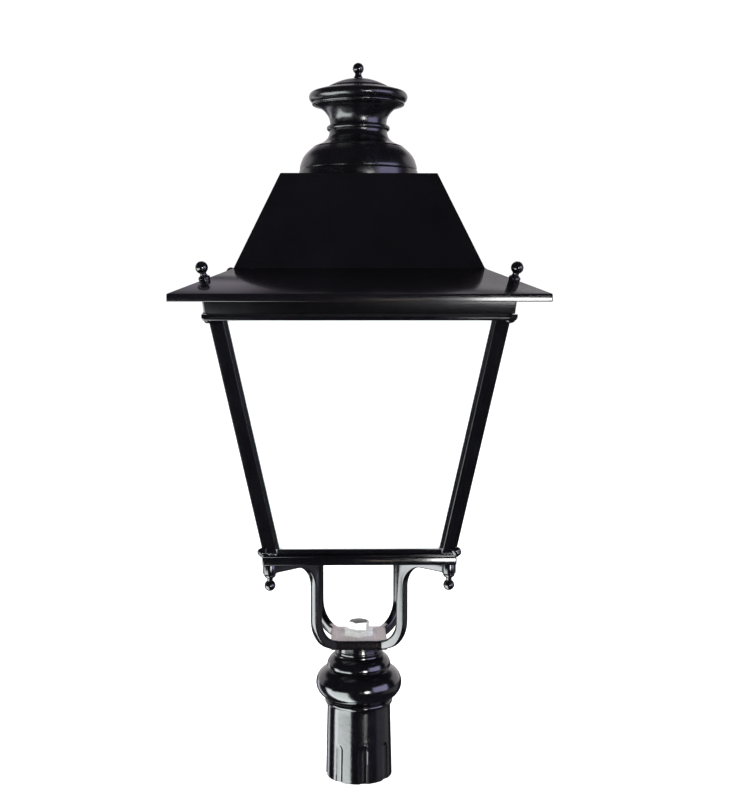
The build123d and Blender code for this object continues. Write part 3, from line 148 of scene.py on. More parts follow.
def surface(name, colour, tint, rough, patch=40.0, grain=600.0, bump=0.08, metal=0.0, coat=0.0,
            edge_wear_and_highlight=0.0, stretch=(1, 1, 1), specular=0.5):
    """Material that drifts to tint in patches, with uneven gloss, fine grain, and edges lightened
    as worn paint and as a painted highlight.
    """
    material = bpy.data.materials.new(name)
    material.use_nodes = True
    nodes, links = material.node_tree.nodes, material.node_tree.links
    shader = nodes["Principled BSDF"]
    shader.inputs["Metallic"].default_value = metal
    shader.inputs["Coat Weight"].default_value = coat
    shader.inputs["Coat Roughness"].default_value = COAT_ROUGHNESS
    shader.inputs["Specular IOR Level"].default_value = specular
    place = nodes.new("ShaderNodeTexCoord")
    scaled = nodes.new("ShaderNodeMapping")
    scaled.inputs["Scale"].default_value = stretch
    links.new(place.outputs["Object"], scaled.inputs["Vector"])

    def cloud(scale, detail):
        texture = nodes.new("ShaderNodeTexNoise")
        texture.inputs["Scale"].default_value = scale
        texture.inputs["Detail"].default_value = detail
        texture.inputs["Roughness"].default_value = 0.6
        links.new(scaled.outputs["Vector"], texture.inputs["Vector"])
        return texture.outputs["Fac"]

    def spread(value, low, high, to_low, to_high):
        ranged = nodes.new("ShaderNodeMapRange")
        for socket, number in zip((1, 2, 3, 4), (low, high, to_low, to_high)):
            ranged.inputs[socket].default_value = number
        links.new(value, ranged.inputs["Value"])
        return ranged.outputs["Result"]

    def blend(factor, first, second):
        mixed = nodes.new("ShaderNodeMix")
        mixed.data_type = "RGBA"
        links.new(factor, mixed.inputs["Factor"])
        for socket, paint in ((mixed.inputs["A"], first), (mixed.inputs["B"], second)):
            if isinstance(paint, tuple):
                socket.default_value = paint
            else:
                links.new(paint, socket)
        return mixed.outputs["Result"]

    patches = cloud(patch, 4)
    paint = blend(spread(patches, 0.35, 0.65, 0, 1), colour, tint)
    if edge_wear_and_highlight:
        # Convex edges take the light edge colour: partly worn paint, partly a painted highlight.
        shape = nodes.new("ShaderNodeNewGeometry")
        edges = spread(shape.outputs["Pointiness"], 0.53, 0.62, 0, edge_wear_and_highlight)
        worn_and_highlit = nodes.new("ShaderNodeMath")
        worn_and_highlit.operation = "MULTIPLY"
        links.new(edges, worn_and_highlit.inputs[0])
        links.new(spread(cloud(patch * 6, 5), 0.42, 0.6, 0, 1), worn_and_highlit.inputs[1])
        paint = blend(worn_and_highlit.outputs["Value"], paint, WORN_AND_HIGHLIT_EDGE)
    links.new(paint, shader.inputs["Base Color"])
    links.new(spread(cloud(patch * 2.5, 6), 0.3, 0.7, *rough), shader.inputs["Roughness"])
    relief = nodes.new("ShaderNodeBump")
    relief.inputs["Strength"].default_value = bump
    relief.inputs["Distance"].default_value = GRAIN_DEPTH
    links.new(cloud(grain, 3), relief.inputs["Height"])
    links.new(relief.outputs["Normal"], shader.inputs["Normal"])
    return material


def flute_radius(angle, radius, height):
    """Distance from the axis to the fluted shaft's surface at an angle and a height."""
    step = 2 * pi / FLUTES
    off = (angle + pi / 2 - radians(FLUTE_TURN) + step / 2) % step - step / 2
    cutter = (FLUTE_HALF ** 2 + FLUTE_DEEP ** 2) / (2 * FLUTE_DEEP)
    middle = radius + cutter - FLUTE_DEEP
    over = max(0.0, height - FLUTE_TOP)
    if over >= cutter:
        return radius
    size = sqrt(cutter ** 2 - over ** 2)
    inside = size ** 2 - (middle * sin(off)) ** 2
    if inside <= 0:
        return radius
    return min(radius, middle * cos(off) - sqrt(inside))


levels = [0.8 + 1.15 * k for k in range(45)]    # close enough together to show the flutes
head_chain = [(0, SOCKET_DEPTH), (SOCKET_R, SOCKET_DEPTH), (SOCKET_R, 0.0),
              (SHAFT_FOOT_R - 0.9, 0.0)]
head_chain += [(SHAFT_FOOT_R - SHAFT_TAPER * z, z) for z in levels] + [(40.75, 88), (40.62, 93.4)]
head_chain += arc((40.7, 94.3), (43.7, 98.2), (40.9, 101.8), 12)
head_chain += arc((41.3, 102.6), (55.2, 122.3), (40.7, 141.6), 40)
head_chain += [(40.3, 142.2)] + arc((40.7, 143.0), (39.5, 151.0), (33.4, 157.9), 14)
head_chain += rounded([(32.6, 158.3), (31.7, 158.3, 0.5), (31.7, HEAD_TOP, 0.7),
                       (BOLT_HOLE_R, HEAD_TOP, 0.4), (BOLT_HOLE_R, BOLT_HOLE_FOOT),
                       (0, BOLT_HOLE_FOOT)])
head = spun(head_chain, steps=256)
for vert in head.verts:
    radius = vert.co.xy.length / MM
    if radius > 38 and vert.co.z < 56 * MM:
        cut_radius = flute_radius(atan2(vert.co.y, vert.co.x), radius, vert.co.z / MM)
        vert.co.xy *= cut_radius / radius
cast_enamel = surface("cast_enamel", BLACK, BLUE_BLACK, (0.12, 0.18), patch=28, grain=240,
                      bump=0.34, coat=0.35, edge_wear_and_highlight=0.1)
finished("post_head_casting", head, cast_enamel, "lantern", "cast_black", "post_head")

# ---- Set screws of the post head -------------------------------------------------------
# Two headless screws with a hexagon socket, blackened steel. They are turned into threaded
# holes in two flutes at the back and press on the post's tube.
dark_steel = surface("dark_steel", (0.05, 0.05, 0.055, 1), (0.09, 0.088, 0.085, 1), (0.3, 0.5),
                     patch=160, grain=1500, metal=0.9)


def dress(look, *nodes):
    """The CAD nodes keep their shape and take the material."""
    for node in nodes:
        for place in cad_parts[node].material_slots:
            place.material = look


dress(dark_steel, "post_set_screws")

# ---- Bracket ---------------------------------------------------------------------------
# Cast iron: a square hub with a round boss under it and four arms that rise to feet under
# the corners. Painted black, the top of the hub milled bare for the nut.
HUB_FOOT = 172.5
HUB_TOP = 184.5
HUB_HALF = 35.5
HUB_HOLE_R = 8.5
ARM_HALF = 5.0
ARM_ROOT = 20.0         # where an arm starts, inside the hub
FOOT_TOP = 299.3
FOOT_UNDER = 288.0
FOOT_BOSS_R = 8.4
FOOT_HOLE_R = 4.4
LEG_OUTER = 81.3
LEG_INNER = 69.3
BEND = 44.0             # outer radius of the bend from the hub up into a leg
FILLET = 28             # radius from a leg out to its foot
CORNER_BOLT = 107.1
CORNERS = ["front_left", "front_right", "back_right", "back_left"]
SIDES = ["front", "right", "back", "left"]


def block(low, high, bevel=0.0):
    """Box between two corners, in millimetres, its edges rounded by bevel."""
    mesh = bmesh.new()
    size = [(b - a) * MM for a, b in zip(low, high)]
    middle = [(a + b) / 2 * MM for a, b in zip(low, high)]
    bmesh.ops.create_cube(mesh, size=1,
                          matrix=Matrix.Translation(middle) @ Matrix.Diagonal((*size, 1)))
    if bevel:
        bmesh.ops.bevel(mesh, geom=mesh.edges[:], offset=bevel * MM, affect="EDGES", segments=3,
                        profile=0.5, material=-1)
    return mesh


def plate(outline, start, end, axis="Z", bevel=0.0):
    """Flat outline made thick from start to end along Z, or along Y if drawn in X and Z."""
    mesh = bmesh.new()
    place = {"Z": lambda p: (p[0], p[1], start), "Y": lambda p: (p[0], start, p[1])}[axis]
    face = mesh.faces.new([mesh.verts.new(Vector(place(p)) * MM) for p in outline])
    made = bmesh.ops.extrude_face_region(mesh, geom=[face], use_keep_orig=True)
    shift = (end - start) * MM
    bmesh.ops.translate(mesh, verts=[v for v in made["geom"] if isinstance(v, bmesh.types.BMVert)],
                        vec=(0, 0, shift) if axis == "Z" else (0, shift, 0))
    if bevel:
        rims = [e for e in mesh.edges if abs(e.calc_face_angle(0)) > 0.6]
        bmesh.ops.bevel(mesh, geom=rims, offset=bevel * MM, affect="EDGES", segments=3,
                        profile=0.5, material=-1, clamp_overlap=True)
    return mesh


def joined(mesh, tool, action="UNION"):
    """The mesh united with another closed shape, cut by it, or kept only inside it."""
    blanks = []
    for shape in (mesh, tool):
        bmesh.ops.recalc_face_normals(shape, faces=shape.faces)
        data = bpy.data.meshes.new("blank")
        shape.to_mesh(data)
        shape.free()
        blanks.append(bpy.data.objects.new("blank", data))
        bpy.context.scene.collection.objects.link(blanks[-1])
    step = blanks[0].modifiers.new("join", "BOOLEAN")
    step.object, step.operation, step.solver = blanks[1], action, "EXACT"
    result = bmesh.new()
    result.from_object(blanks[0], bpy.context.evaluated_depsgraph_get())
    for blank in blanks:
        data = blank.data
        bpy.data.objects.remove(blank)
        bpy.data.meshes.remove(data)
    return result


def added(mesh, *others):
    """One mesh that holds the others too, each freed."""
    for other in others:
        data = bpy.data.meshes.new("blank")
        other.to_mesh(data)
        other.free()
        mesh.from_mesh(data)
        bpy.data.meshes.remove(data)
    return mesh


def turned(mesh, turns):
    """The mesh turned by quarter turns round Z."""
    bmesh.ops.rotate(mesh, verts=mesh.verts, cent=(0, 0, 0),
                     matrix=Matrix.Rotation(turns * pi / 2, 3, "Z"))
    return mesh


def moved(mesh, place):
    """The mesh at a place given by a matrix."""
    bmesh.ops.transform(mesh, matrix=place, verts=mesh.verts)
    return mesh


def shifted(mesh, x, y, z):
    """The mesh moved by millimetres."""
    return moved(mesh, Matrix.Translation((x * MM, y * MM, z * MM)))


foot_end = CORNER_BOLT * sqrt(2)
slant = sin(pi / 4)
bend_x, bend_z = LEG_OUTER - BEND, HUB_FOOT + BEND
inside = BEND - (LEG_OUTER - LEG_INNER)
fillet_x, fillet_z = LEG_OUTER + FILLET, FOOT_UNDER - FILLET
bend = arc((bend_x, HUB_FOOT), (bend_x + BEND * slant, bend_z - BEND * slant),
           (LEG_OUTER, bend_z), 18)
fillet = arc((LEG_OUTER, fillet_z), (fillet_x - FILLET * slant, fillet_z + FILLET * slant),
             (fillet_x, FOOT_UNDER), 12)
inner = arc((LEG_INNER, bend_z), (bend_x + inside * slant, bend_z - inside * slant),
            (bend_x, HUB_TOP), 18)
arm_outline = [(ARM_ROOT, HUB_FOOT)] + bend + fillet
arm_outline += [(foot_end, FOOT_UNDER), (foot_end, FOOT_TOP), (LEG_INNER, FOOT_TOP)]
arm_outline += inner + [(ARM_ROOT, HUB_TOP)]
arm = plate(arm_outline, -ARM_HALF, ARM_HALF, axis="Y", bevel=1.7)
foot_boss = spun(rounded([(0, FOOT_UNDER), (FOOT_BOSS_R, FOOT_UNDER, 0.8),
                          (FOOT_BOSS_R, FOOT_TOP, 0.3), (0, FOOT_TOP)]), 40)
arm = joined(arm, shifted(foot_boss, foot_end, 0, 0))
bmesh.ops.rotate(arm, verts=arm.verts, cent=(0, 0, 0), matrix=Matrix.Rotation(radians(45), 3, "Z"))
casting = block((-HUB_HALF, -HUB_HALF, HUB_FOOT), (HUB_HALF, HUB_HALF, HUB_TOP), bevel=1.3)
hub_boss = spun(rounded([(0, HEAD_TOP), (29.6, HEAD_TOP, 0.6), (29.6, 163.4, 0.9),
                         (28.7, 164.2, 0.4), (28.7, 175), (0, 175)]), 128)
casting = joined(casting, hub_boss)
for turn in range(4):
    casting = joined(casting, turned(arm.copy(), turn))
arm.free()
casting = joined(casting, rod(HUB_HOLE_R, 150, 190, 48), "DIFFERENCE")
for x in (-1, 1):
    for y in (-1, 1):
        hole = shifted(rod(FOOT_HOLE_R, 280, 310, 32), x * CORNER_BOLT, y * CORNER_BOLT, 0)
        casting = joined(casting, hole, "DIFFERENCE")
casting.normal_update()
for face in casting.faces:
    middle = face.calc_center_median() / MM
    on_hub = max(abs(middle.x), abs(middle.y)) < HUB_HALF
    if on_hub and middle.z > HUB_TOP - 0.1 and face.normal.z > 0.9:
        face.material_index = 1
milled = surface("milled_iron", (0.78, 0.71, 0.7, 1), (0.6, 0.54, 0.535, 1), (0.38, 0.5),
                 patch=70, grain=220, bump=0.4, metal=0.7, stretch=(9, 0.6, 1))
finished("bracket_casting", casting, [cast_enamel, milled], "lantern", "cast_black", "bracket",
         sharp=38)

# ---- Hub nut and hub bolt --------------------------------------------------------------
# Bare zinc: a large flat nut clamps the bracket, and a hexagon bolt through it goes down
# into the post head. The corners of both are turned off to a cone.
CONE = 1.9              # how far the cone runs out for each millimetre that it falls
FLAT_TOP = 0.475        # radius of the flat face inside the cone, for a hexagon 1 across
NUT_FLATS, NUT_HEIGHT = 36, 7
BOLT_FLATS, BOLT_HEAD, BOLT_TURN = 24, 10, 12
BOLT_R, BOLT_FOOT = 8, 124.5


def hexagon(flats, height, hole=0.0, turn=0.0):
    """Hexagon standing on z = 0 with its corners coned off, solid or with a hole."""
    corner, rim = flats / sqrt(3), flats * FLAT_TOP
    angles = [radians(turn + 60 * k) for k in range(6)]
    outline = [(corner * cos(a), corner * sin(a)) for a in angles]
    out = corner + 1
    cone = [(0, height + 1), (rim - CONE, height + 1), (out, height - (out - rim) / CONE),
            (out, -1), (0, -1)]
    mesh = joined(plate(outline, 0, height), spun(cone, 120), "INTERSECT")
    if hole:
        mesh = joined(mesh, rod(hole, -1, height + 1, 72), "DIFFERENCE")
    return mesh


zinc = surface("zinc_plate", (0.9, 0.9, 0.86, 1), (0.8, 0.82, 0.8, 1), (0.2, 0.3), patch=120,
               grain=900, bump=0.025, metal=0.2)
bare_steel = surface("bare_steel", (0.2, 0.2, 0.2, 1), (0.33, 0.33, 0.32, 1), (0.4, 0.55),
                     patch=150, grain=700, bump=0.3, metal=0.6)
nut = shifted(hexagon(NUT_FLATS, NUT_HEIGHT, hole=HUB_HOLE_R), 0, 0, HUB_TOP)
bmesh.ops.rotate(nut, verts=nut.verts, cent=(0, 0, 0), matrix=Matrix.Rotation(radians(30), 3, "Z"))
finished("hub_nut_hexagon", nut, zinc, "lantern", "zinc", "hub_nut")
bolt_seat = HUB_TOP + NUT_HEIGHT
bolt = shifted(hexagon(BOLT_FLATS, BOLT_HEAD, turn=BOLT_TURN), 0, 0, bolt_seat)
shank = spun(rounded([(0, BOLT_FOOT), (BOLT_R, BOLT_FOOT, 1.0), (BOLT_R, bolt_seat + 0.2),
                      (0, bolt_seat + 0.2)]), 48)
bolt = joined(bolt, shank)
bolt.normal_update()
for face in bolt.faces:
    middle = face.calc_center_median() / MM
    if middle.z > bolt_seat + BOLT_HEAD - 0.1 and middle.xy.length < 9.5:
        face.material_index = 1
finished("hub_bolt_hexagon", bolt, [zinc, bare_steel], "lantern", "zinc", "hub_bolt")

# ---- Ball bolts under the corners ------------------------------------------------------
# Turned steel, painted gloss black: a collar, a thin neck and a ball hang below each foot,
# and the stud above them holds the foot to the base ring.
turned_enamel = surface("turned_enamel", BLACK, BLUE_BLACK, (0.1, 0.15), patch=45, grain=420,
                        bump=0.07, coat=0.4, edge_wear_and_highlight=0.12)
gloss = surface("gloss_enamel", BLACK, BLUE_BLACK, (0.12, 0.17), patch=30, grain=380, bump=0.08,
                coat=0.4)
bolt_chain = rounded([(0, 309.2), (4, 309.2, 0.6), (4, FOOT_UNDER), (6.2, FOOT_UNDER, 0.3),
                      (7.3, 286.2, 1.0), (5.9, 283.9, 0.8), (3.5, 282.4, 0.6), (3.35, 279.5)])
bolt_chain += arc((3.4, 279.6), (6.7, 273.8), (0, 267.1), 26)
for turn, corner in enumerate(CORNERS):
    ball = turned(shifted(spun(bolt_chain, 48), -CORNER_BOLT, -CORNER_BOLT, 0), turn)
    finished(f"ball_bolt_turned_{corner}", ball, turned_enamel, "lantern", "turned_black",
             f"ball_bolt_{corner}")

# ---- Base ring and bottom frame --------------------------------------------------------
# The ring is square bar, mitred and welded. The bottom frame is a flat ledge of sheet,
# 1.8 mm proud of the ring, with a low upstand on each side. Gloss black.
RING_OUT, RING_IN = 115.8, 95.8
LEDGE_FOOT, LEDGE_TOP = 309.5, 311.7
LEDGE_OUT, LEDGE_IN = 117.6, 88.0
UPSTAND_HEIGHT, UPSTAND_THICK = 7.4, 2.2
TOP_FOOT = 591.6
BODY_FOOT_HALF, BODY_TOP_HALF = 114.3, 170.0
LEAN = (BODY_TOP_HALF - BODY_FOOT_HALF) / (TOP_FOOT - LEDGE_TOP)
ANGLE = 16.4            # width of the uprights' legs


def squared(points, bevel):
    """Square shape round Z from a chain of half width and height, its corners rounded."""
    mesh = spun([(half * sqrt(2), z) for half, z in rounded(points, 3)], steps=4, turn=pi / 4)
    bmesh.ops.recalc_face_normals(mesh, faces=mesh.faces)
    corners = [e for e in mesh.edges if e.calc_face_angle(0) > 0.7
               and min(e.verts[0].co.x * e.verts[1].co.x, e.verts[0].co.y * e.verts[1].co.y) > 0]
    bmesh.ops.bevel(mesh, geom=corners, offset=bevel * MM, affect="EDGES", segments=3,
                    profile=0.5, material=-1)
    return mesh


def body_half(z):
    """Half width over the uprights at a height."""
    return BODY_FOOT_HALF + (z - LEDGE_TOP) * LEAN


ring = squared([(RING_IN, FOOT_TOP), (RING_OUT, FOOT_TOP, 1.2), (RING_OUT, LEDGE_FOOT, 0.8),
                (RING_IN, LEDGE_FOOT, 0.6), (RING_IN, FOOT_TOP)], 1.6)
finished("base_ring_bar", ring, gloss, "lantern", "frame_black", "base_ring")
ledge = squared([(LEDGE_IN, LEDGE_FOOT), (LEDGE_OUT, LEDGE_FOOT, 0.7), (LEDGE_OUT, LEDGE_TOP, 0.7),
                 (LEDGE_IN, LEDGE_TOP, 0.4), (LEDGE_IN, LEDGE_FOOT)], 1.2)
upstand_top = LEDGE_TOP + UPSTAND_HEIGHT
foot_half, rim_half = body_half(LEDGE_TOP), body_half(upstand_top)
upstand = plate([(-foot_half, LEDGE_TOP), (-foot_half + UPSTAND_THICK, LEDGE_TOP),
                 (-rim_half + UPSTAND_THICK, upstand_top), (-rim_half, upstand_top)],
                ANGLE - foot_half, foot_half - ANGLE, axis="Y", bevel=0.5)
upstands = [turned(upstand.copy(), turn) for turn in range(4)]
upstand.free()
finished("bottom_frame_sheet", added(ledge, *upstands), gloss, "lantern", "frame_black",
         "bottom_frame")

# ---- Bottom plate, cable gland and its lock nut ----------------------------------------
# Sheet plate that closes the lantern from below. The gland is moulded nylon: hexagon,
# ribbed dome nut below the plate, thread through it and a lock nut inside.
PLATE_TOP = 313.7
GLAND_Y = 66.0
CABLE_R = 5.0
GLAND_FLATS, GLAND_HEIGHT, LOCKNUT_HEIGHT = 24, 7, 5
RIBS, RIB_DEPTH = 18, 0.025
nylon = surface("black_nylon", (0.02, 0.02, 0.021, 1), (0.03, 0.03, 0.031, 1), (0.4, 0.55),
                patch=90, grain=1800, bump=0.12)
dress(gloss, "bottom_plate")
gland = spun(rounded([(CABLE_R, 9), (CABLE_R, -19.0), (6.4, -19.0, 0.6), (10.4, -16.4, 1.8),
                      (11.4, -12.6, 1.5), (11.4, -7), (12.0, -7), (12.0, -6.8), (10, -0.05),
                      (10, 9, 0.6), (CABLE_R, 9)]), 72)
for vert in gland.verts:
    radius, height = vert.co.xy.length / MM, vert.co.z / MM
    if radius > 10.6 and -17 < height < -7.2:
        vert.co.xy *= 1 - RIB_DEPTH * (cos(RIBS * atan2(vert.co.y, vert.co.x)) > 0.2)
gland_hexagon = shifted(hexagon(GLAND_FLATS, GLAND_HEIGHT, hole=CABLE_R), 0, 0, -GLAND_HEIGHT)
gland = shifted(joined(gland, gland_hexagon), 0, GLAND_Y, LEDGE_TOP)
finished("cable_gland_body", gland, nylon, "lantern", "black_plastic", "cable_gland")
locknut = shifted(hexagon(GLAND_FLATS, LOCKNUT_HEIGHT, hole=10.05), 0, GLAND_Y, PLATE_TOP)
finished("gland_locknut_hexagon", locknut, nylon, "lantern", "black_plastic", "gland_locknut")

# ---- Uprights --------------------------------------------------------------------------
# Rolled steel angle, one per corner, leaning out to the top frame. Each end is welded: a
# lump stands proud of the corner, and at the foot a bead runs along each face.
ANGLE_THICK = 3.0
FOOT_WELD = (6.3, 6.3, 5.6)
HEAD_WELD = (5.4, 5.4, 4.8)
WELD_IN = 0.2           # from the corner's edge in to the middle of a lump
BEAD_R = 3.0
BEAD_LIFT = 2.3
DROP_LENGTH = 4.1       # of one drop of weld in a bead


def weld_lump(place, size, seed):
    """Uneven lump of weld."""
    lump = bmesh.new()
    bmesh.ops.create_icosphere(lump, subdivisions=4, radius=1.0)
    for vert in lump.verts:
        out = vert.co.copy()
        swell = (1 + 0.16 * noise.noise(out * 1.6 + Vector((seed, 0, 0)))
                 + 0.05 * noise.noise(out * 4.5))
        vert.co = Vector((out.x * size[0], out.y * size[1], out.z * size[2])) * swell * MM
    return moved(lump, Matrix.Translation(Vector(place) * MM))


def weld_bead(start, end, radius, seed):
    """Uneven run of weld along a straight line, thicker where each drop set."""
    start, end = Vector(start), Vector(end)
    along = (end - start).normalized()
    bead = bmesh.new()
    bmesh.ops.create_cone(bead, cap_ends=True, segments=28, radius1=radius * MM,
                          radius2=radius * MM, depth=(end - start).length * MM)
    lines = [e for e in bead.edges if abs(e.verts[0].co.z - e.verts[1].co.z) > 0.001]
    bmesh.ops.subdivide_edges(bead, edges=lines, cuts=36)
    for vert in bead.verts:
        x, y, height = (value / MM for value in vert.co)
        drops = 0.93 + 0.07 * cos(height * 2 * pi / DROP_LENGTH + seed)
        swell = drops + 0.12 * noise.noise(Vector((x * 0.4, y * 0.4, height * 0.35 + seed)))
        vert.co.xy *= min(swell, 1.04)
    turn = along.to_track_quat("Z", "Y").to_matrix().to_4x4()
    return moved(bead, Matrix.Translation((start + end) / 2 * MM) @ turn)


def angle_bar(edge, foot, top, width, thick, bevel):
    """Leaning angle at the front left: edge gives its outer corner at a height."""
    a, b = edge(foot), edge(top)
    outline = [(a, a), (a + width, a), (a + width, a + thick), (a + thick, a + thick),
               (a + thick, a + width), (a, a + width)]
    mesh = bmesh.new()
    face = mesh.faces.new([mesh.verts.new(Vector((x, y, foot)) * MM) for x, y in outline])
    made = bmesh.ops.extrude_face_region(mesh, geom=[face], use_keep_orig=True)
    bmesh.ops.translate(mesh, verts=[v for v in made["geom"] if isinstance(v, bmesh.types.BMVert)],
                        vec=Vector((b - a, b - a, top - foot)) * MM)
    long_edges = [e for e in mesh.edges if abs(e.verts[0].co.z - e.verts[1].co.z) > 0.01]
    bmesh.ops.bevel(mesh, geom=long_edges, offset=bevel * MM, affect="EDGES", segments=3,
                    profile=0.5, material=-1)
    return mesh


for turn, corner in enumerate(CORNERS):
    bar = angle_bar(lambda z: -body_half(z), LEDGE_TOP, TOP_FOOT, ANGLE, ANGLE_THICK, 0.6)
    foot_at = WELD_IN - body_half(LEDGE_TOP + 4)
    head_at = WELD_IN - body_half(TOP_FOOT)
    foot_weld = weld_lump((foot_at, foot_at, LEDGE_TOP + 3.9), FOOT_WELD, turn * 3.1)
    head_weld = weld_lump((head_at, head_at, TOP_FOOT + 1.2), HEAD_WELD, 9 + turn * 2.3)
    bead_at, bead_z = -body_half(LEDGE_TOP + 2.4), LEDGE_TOP + BEAD_LIFT
    near, far = bead_at + 1, bead_at + ANGLE - 0.4
    beads = [weld_bead((near, bead_at, bead_z), (far, bead_at, bead_z), BEAD_R, turn * 1.7),
             weld_bead((bead_at, near, bead_z), (bead_at, far, bead_z), BEAD_R, 5 + turn)]
    upright = turned(added(bar, foot_weld, head_weld, *beads), turn)
    finished(f"upright_bar_{corner}", upright, gloss, "lantern", "frame_black",
             f"upright_{corner}", sharp=40)

# ---- Opal panels, glazing beads and corner retainers -----------------------------------
# White opal sheets lie against the uprights. Black rubber beads close their edges in front,
# and zinc plated angles inside hold them at the corners.
opal = surface("opal_sheet", (0.93, 0.93, 0.93, 1), (0.9, 0.9, 0.895, 1), (0.14, 0.24), patch=6,
               grain=90, bump=0.03)
sheet = opal.node_tree.nodes["Principled BSDF"]
sheet.inputs["Subsurface Weight"].default_value = 0.15
sheet.inputs["Subsurface Scale"].default_value = 0.004
# The sheets glow a little: a painted glow that no lamp gives, which keeps them white.
sheet.inputs["Emission Color"].default_value = (1, 1, 1, 1)
sheet.inputs["Emission Strength"].default_value = 0.22
rubber = surface("black_rubber", (0.002, 0.002, 0.003, 1), (0.0035, 0.0035, 0.005, 1),
                 (0.34, 0.45), patch=80, grain=1500, bump=0.15, specular=0.14)
dress(opal, *[f"panel_{side}" for side in SIDES])
dress(rubber, "roof_seal", *[f"glazing_beads_{side}" for side in SIDES])
dress(zinc, *[f"corner_retainer_{corner}" for corner in CORNERS])

# ---- Top frame -------------------------------------------------------------------------
# Flat steel frame welded on the uprights, with a leg behind the panels and a round-ended
# lug for the roof's screw on the right. Gloss black.
TOP_TOP = 595.6
TOP_IN, TOP_OUT_FOOT, TOP_OUT = 146, 176.1, 177.3
LEG_FOOT = TOP_FOOT - 14
LEG_THICK = 3
LEG_IN = 6.6            # from the faces of the uprights in to the leg
SCREW_X = 184.3
SCREW_HOLE_R = 2.8
LUG_HALF = 10.0
MITRE_WELD = (6.6, 6.6, 6.6)
MITRE_WELD_AT = (-173.9, -173.9, 592.6)


def lug_outline(start):
    """Outline of the screw's lug, round at its end."""
    end = arc((SCREW_X, -LUG_HALF), (SCREW_X + LUG_HALF, 0), (SCREW_X, LUG_HALF), 20)
    return [(start, -LUG_HALF)] + end + [(start, LUG_HALF)]


def screw_hole(foot, top):
    """Cutter for the roof's screw."""
    return shifted(rod(SCREW_HOLE_R, foot, top, 32), SCREW_X, 0, 0)


leg_out = body_half(LEG_FOOT) - LEG_IN
top_frame = squared([(TOP_IN, TOP_FOOT), (leg_out - LEG_THICK, TOP_FOOT),
                     (leg_out - LEG_THICK, LEG_FOOT, 0.5), (leg_out, LEG_FOOT, 0.5),
                     (leg_out, TOP_FOOT), (TOP_OUT_FOOT, TOP_FOOT, 0.8), (TOP_OUT, TOP_TOP, 1.0),
                     (TOP_IN, TOP_TOP, 0.5), (TOP_IN, TOP_FOOT)], 1.8)
top_frame = joined(top_frame, plate(lug_outline(172), TOP_FOOT, TOP_TOP, bevel=0.5))
top_frame = joined(top_frame, screw_hole(TOP_FOOT - 2, TOP_TOP + 2), "DIFFERENCE")
weld_space = block((-177.2, -177.2, 593.8), (177.2, 177.2, 598.5))
weld_space = joined(weld_space, block((-172.5, -172.5, TOP_TOP), (172.5, 172.5, 600)), "DIFFERENCE")
for turn in range(4):
    lump = turned(weld_lump(MITRE_WELD_AT, MITRE_WELD, 21 + turn * 1.9), turn)
    top_frame = added(top_frame, joined(lump, weld_space.copy(), "INTERSECT"))
weld_space.free()
finished("top_frame_bar", top_frame, gloss, "lantern", "frame_black", "top_frame", sharp=38)

# ---- Hinges of the roof ----------------------------------------------------------------
# Two steel butt hinges on the left: a leaf under the edge of the top frame, a leaf on the
# canopy's band, and a plain pin with riveted ends through the knuckles.
dress(gloss, "hinge_lower_leaves", "hinge_upper_leaves")
dress(zinc, "hinge_pins")

# ---- Roof screw and its clip -----------------------------------------------------------
# Zinc plated screw with a knurled knob under the lug of the top frame. A spring clip keeps
# it in the lug when the roof is open.
KNOB_R = 9.0
COLLAR_TOP = TOP_FOOT - 0.3
KNOB_TOP = COLLAR_TOP - 2.4
KNOB_FOOT = KNOB_TOP - 9.0
KNURLS = 24
KNURL_SLANT = 2.4
KNURL_DEPTH = 0.45
SCREW_R = 2.5
knob_levels = [KNOB_FOOT + 1.2 + k * 0.55 for k in range(13)]
knob_chain = [(0, KNOB_FOOT), (5.0, KNOB_FOOT), (5.4, KNOB_FOOT + 0.4), (5.8, KNOB_FOOT),
              (8.2, KNOB_FOOT), (8.7, KNOB_FOOT + 0.5)]
knob_chain += [(KNOB_R - 0.15, z) for z in knob_levels]
knob_chain += [(8.7, KNOB_TOP - 0.5), (8.2, KNOB_TOP), (4.2, KNOB_TOP), (4.0, KNOB_TOP + 0.3),
               (4.0, COLLAR_TOP - 0.2), (3.8, COLLAR_TOP), (SCREW_R, COLLAR_TOP),
               (SCREW_R, 605.2), (1.8, 605.9), (0, 605.9)]
knob = spun(knob_chain, 192)
for vert in knob.verts:
    radius, height = vert.co.xy.length / MM, vert.co.z / MM
    if radius > 8.8:
        angle = KNURLS * atan2(vert.co.y, vert.co.x)
        lift = abs(sin(angle + height * KNURL_SLANT)) * abs(sin(angle - height * KNURL_SLANT))
        vert.co.xy *= (KNOB_R - KNURL_DEPTH + KNURL_DEPTH * lift) / radius
finished("roof_screw_knurled", shifted(knob, SCREW_X, 0, 0), zinc, "roof_screw", "zinc",
         "roof_screw")
dress(zinc, "screw_clip")

# ---- Canopy band -----------------------------------------------------------------------
# Folded sheet band that sits on the seal, leaning out slightly, with an inward flange at
# its foot and the lug that the roof's screw enters. Satin black.
BAND_FOOT, BAND_TOP = 598.9, 612.9
FLANGE_IN = 148
BAND_THICK = 2
satin = surface("satin_enamel", (0.0016, 0.0014, 0.002, 1), (0.0026, 0.0023, 0.0032, 1),
                (0.16, 0.22), patch=9, grain=500, bump=0.07, coat=0.15)
band = squared([(FLANGE_IN, BAND_FOOT), (174.7, BAND_FOOT, 0.9), (176.3, BAND_TOP),
                (174.3, BAND_TOP), (172.9, BAND_FOOT + BAND_THICK, 0.4),
                (FLANGE_IN, BAND_FOOT + BAND_THICK), (FLANGE_IN, BAND_FOOT)], 1.6)
band = joined(band, plate(lug_outline(173.2), BAND_FOOT, BAND_FOOT + 4, bevel=0.5))
band = joined(band, screw_hole(BAND_FOOT - 2, BAND_FOOT + 6), "DIFFERENCE")
finished("canopy_band_sheet", band, satin, "roof", "sheet_black", "canopy_band", sharp=38)

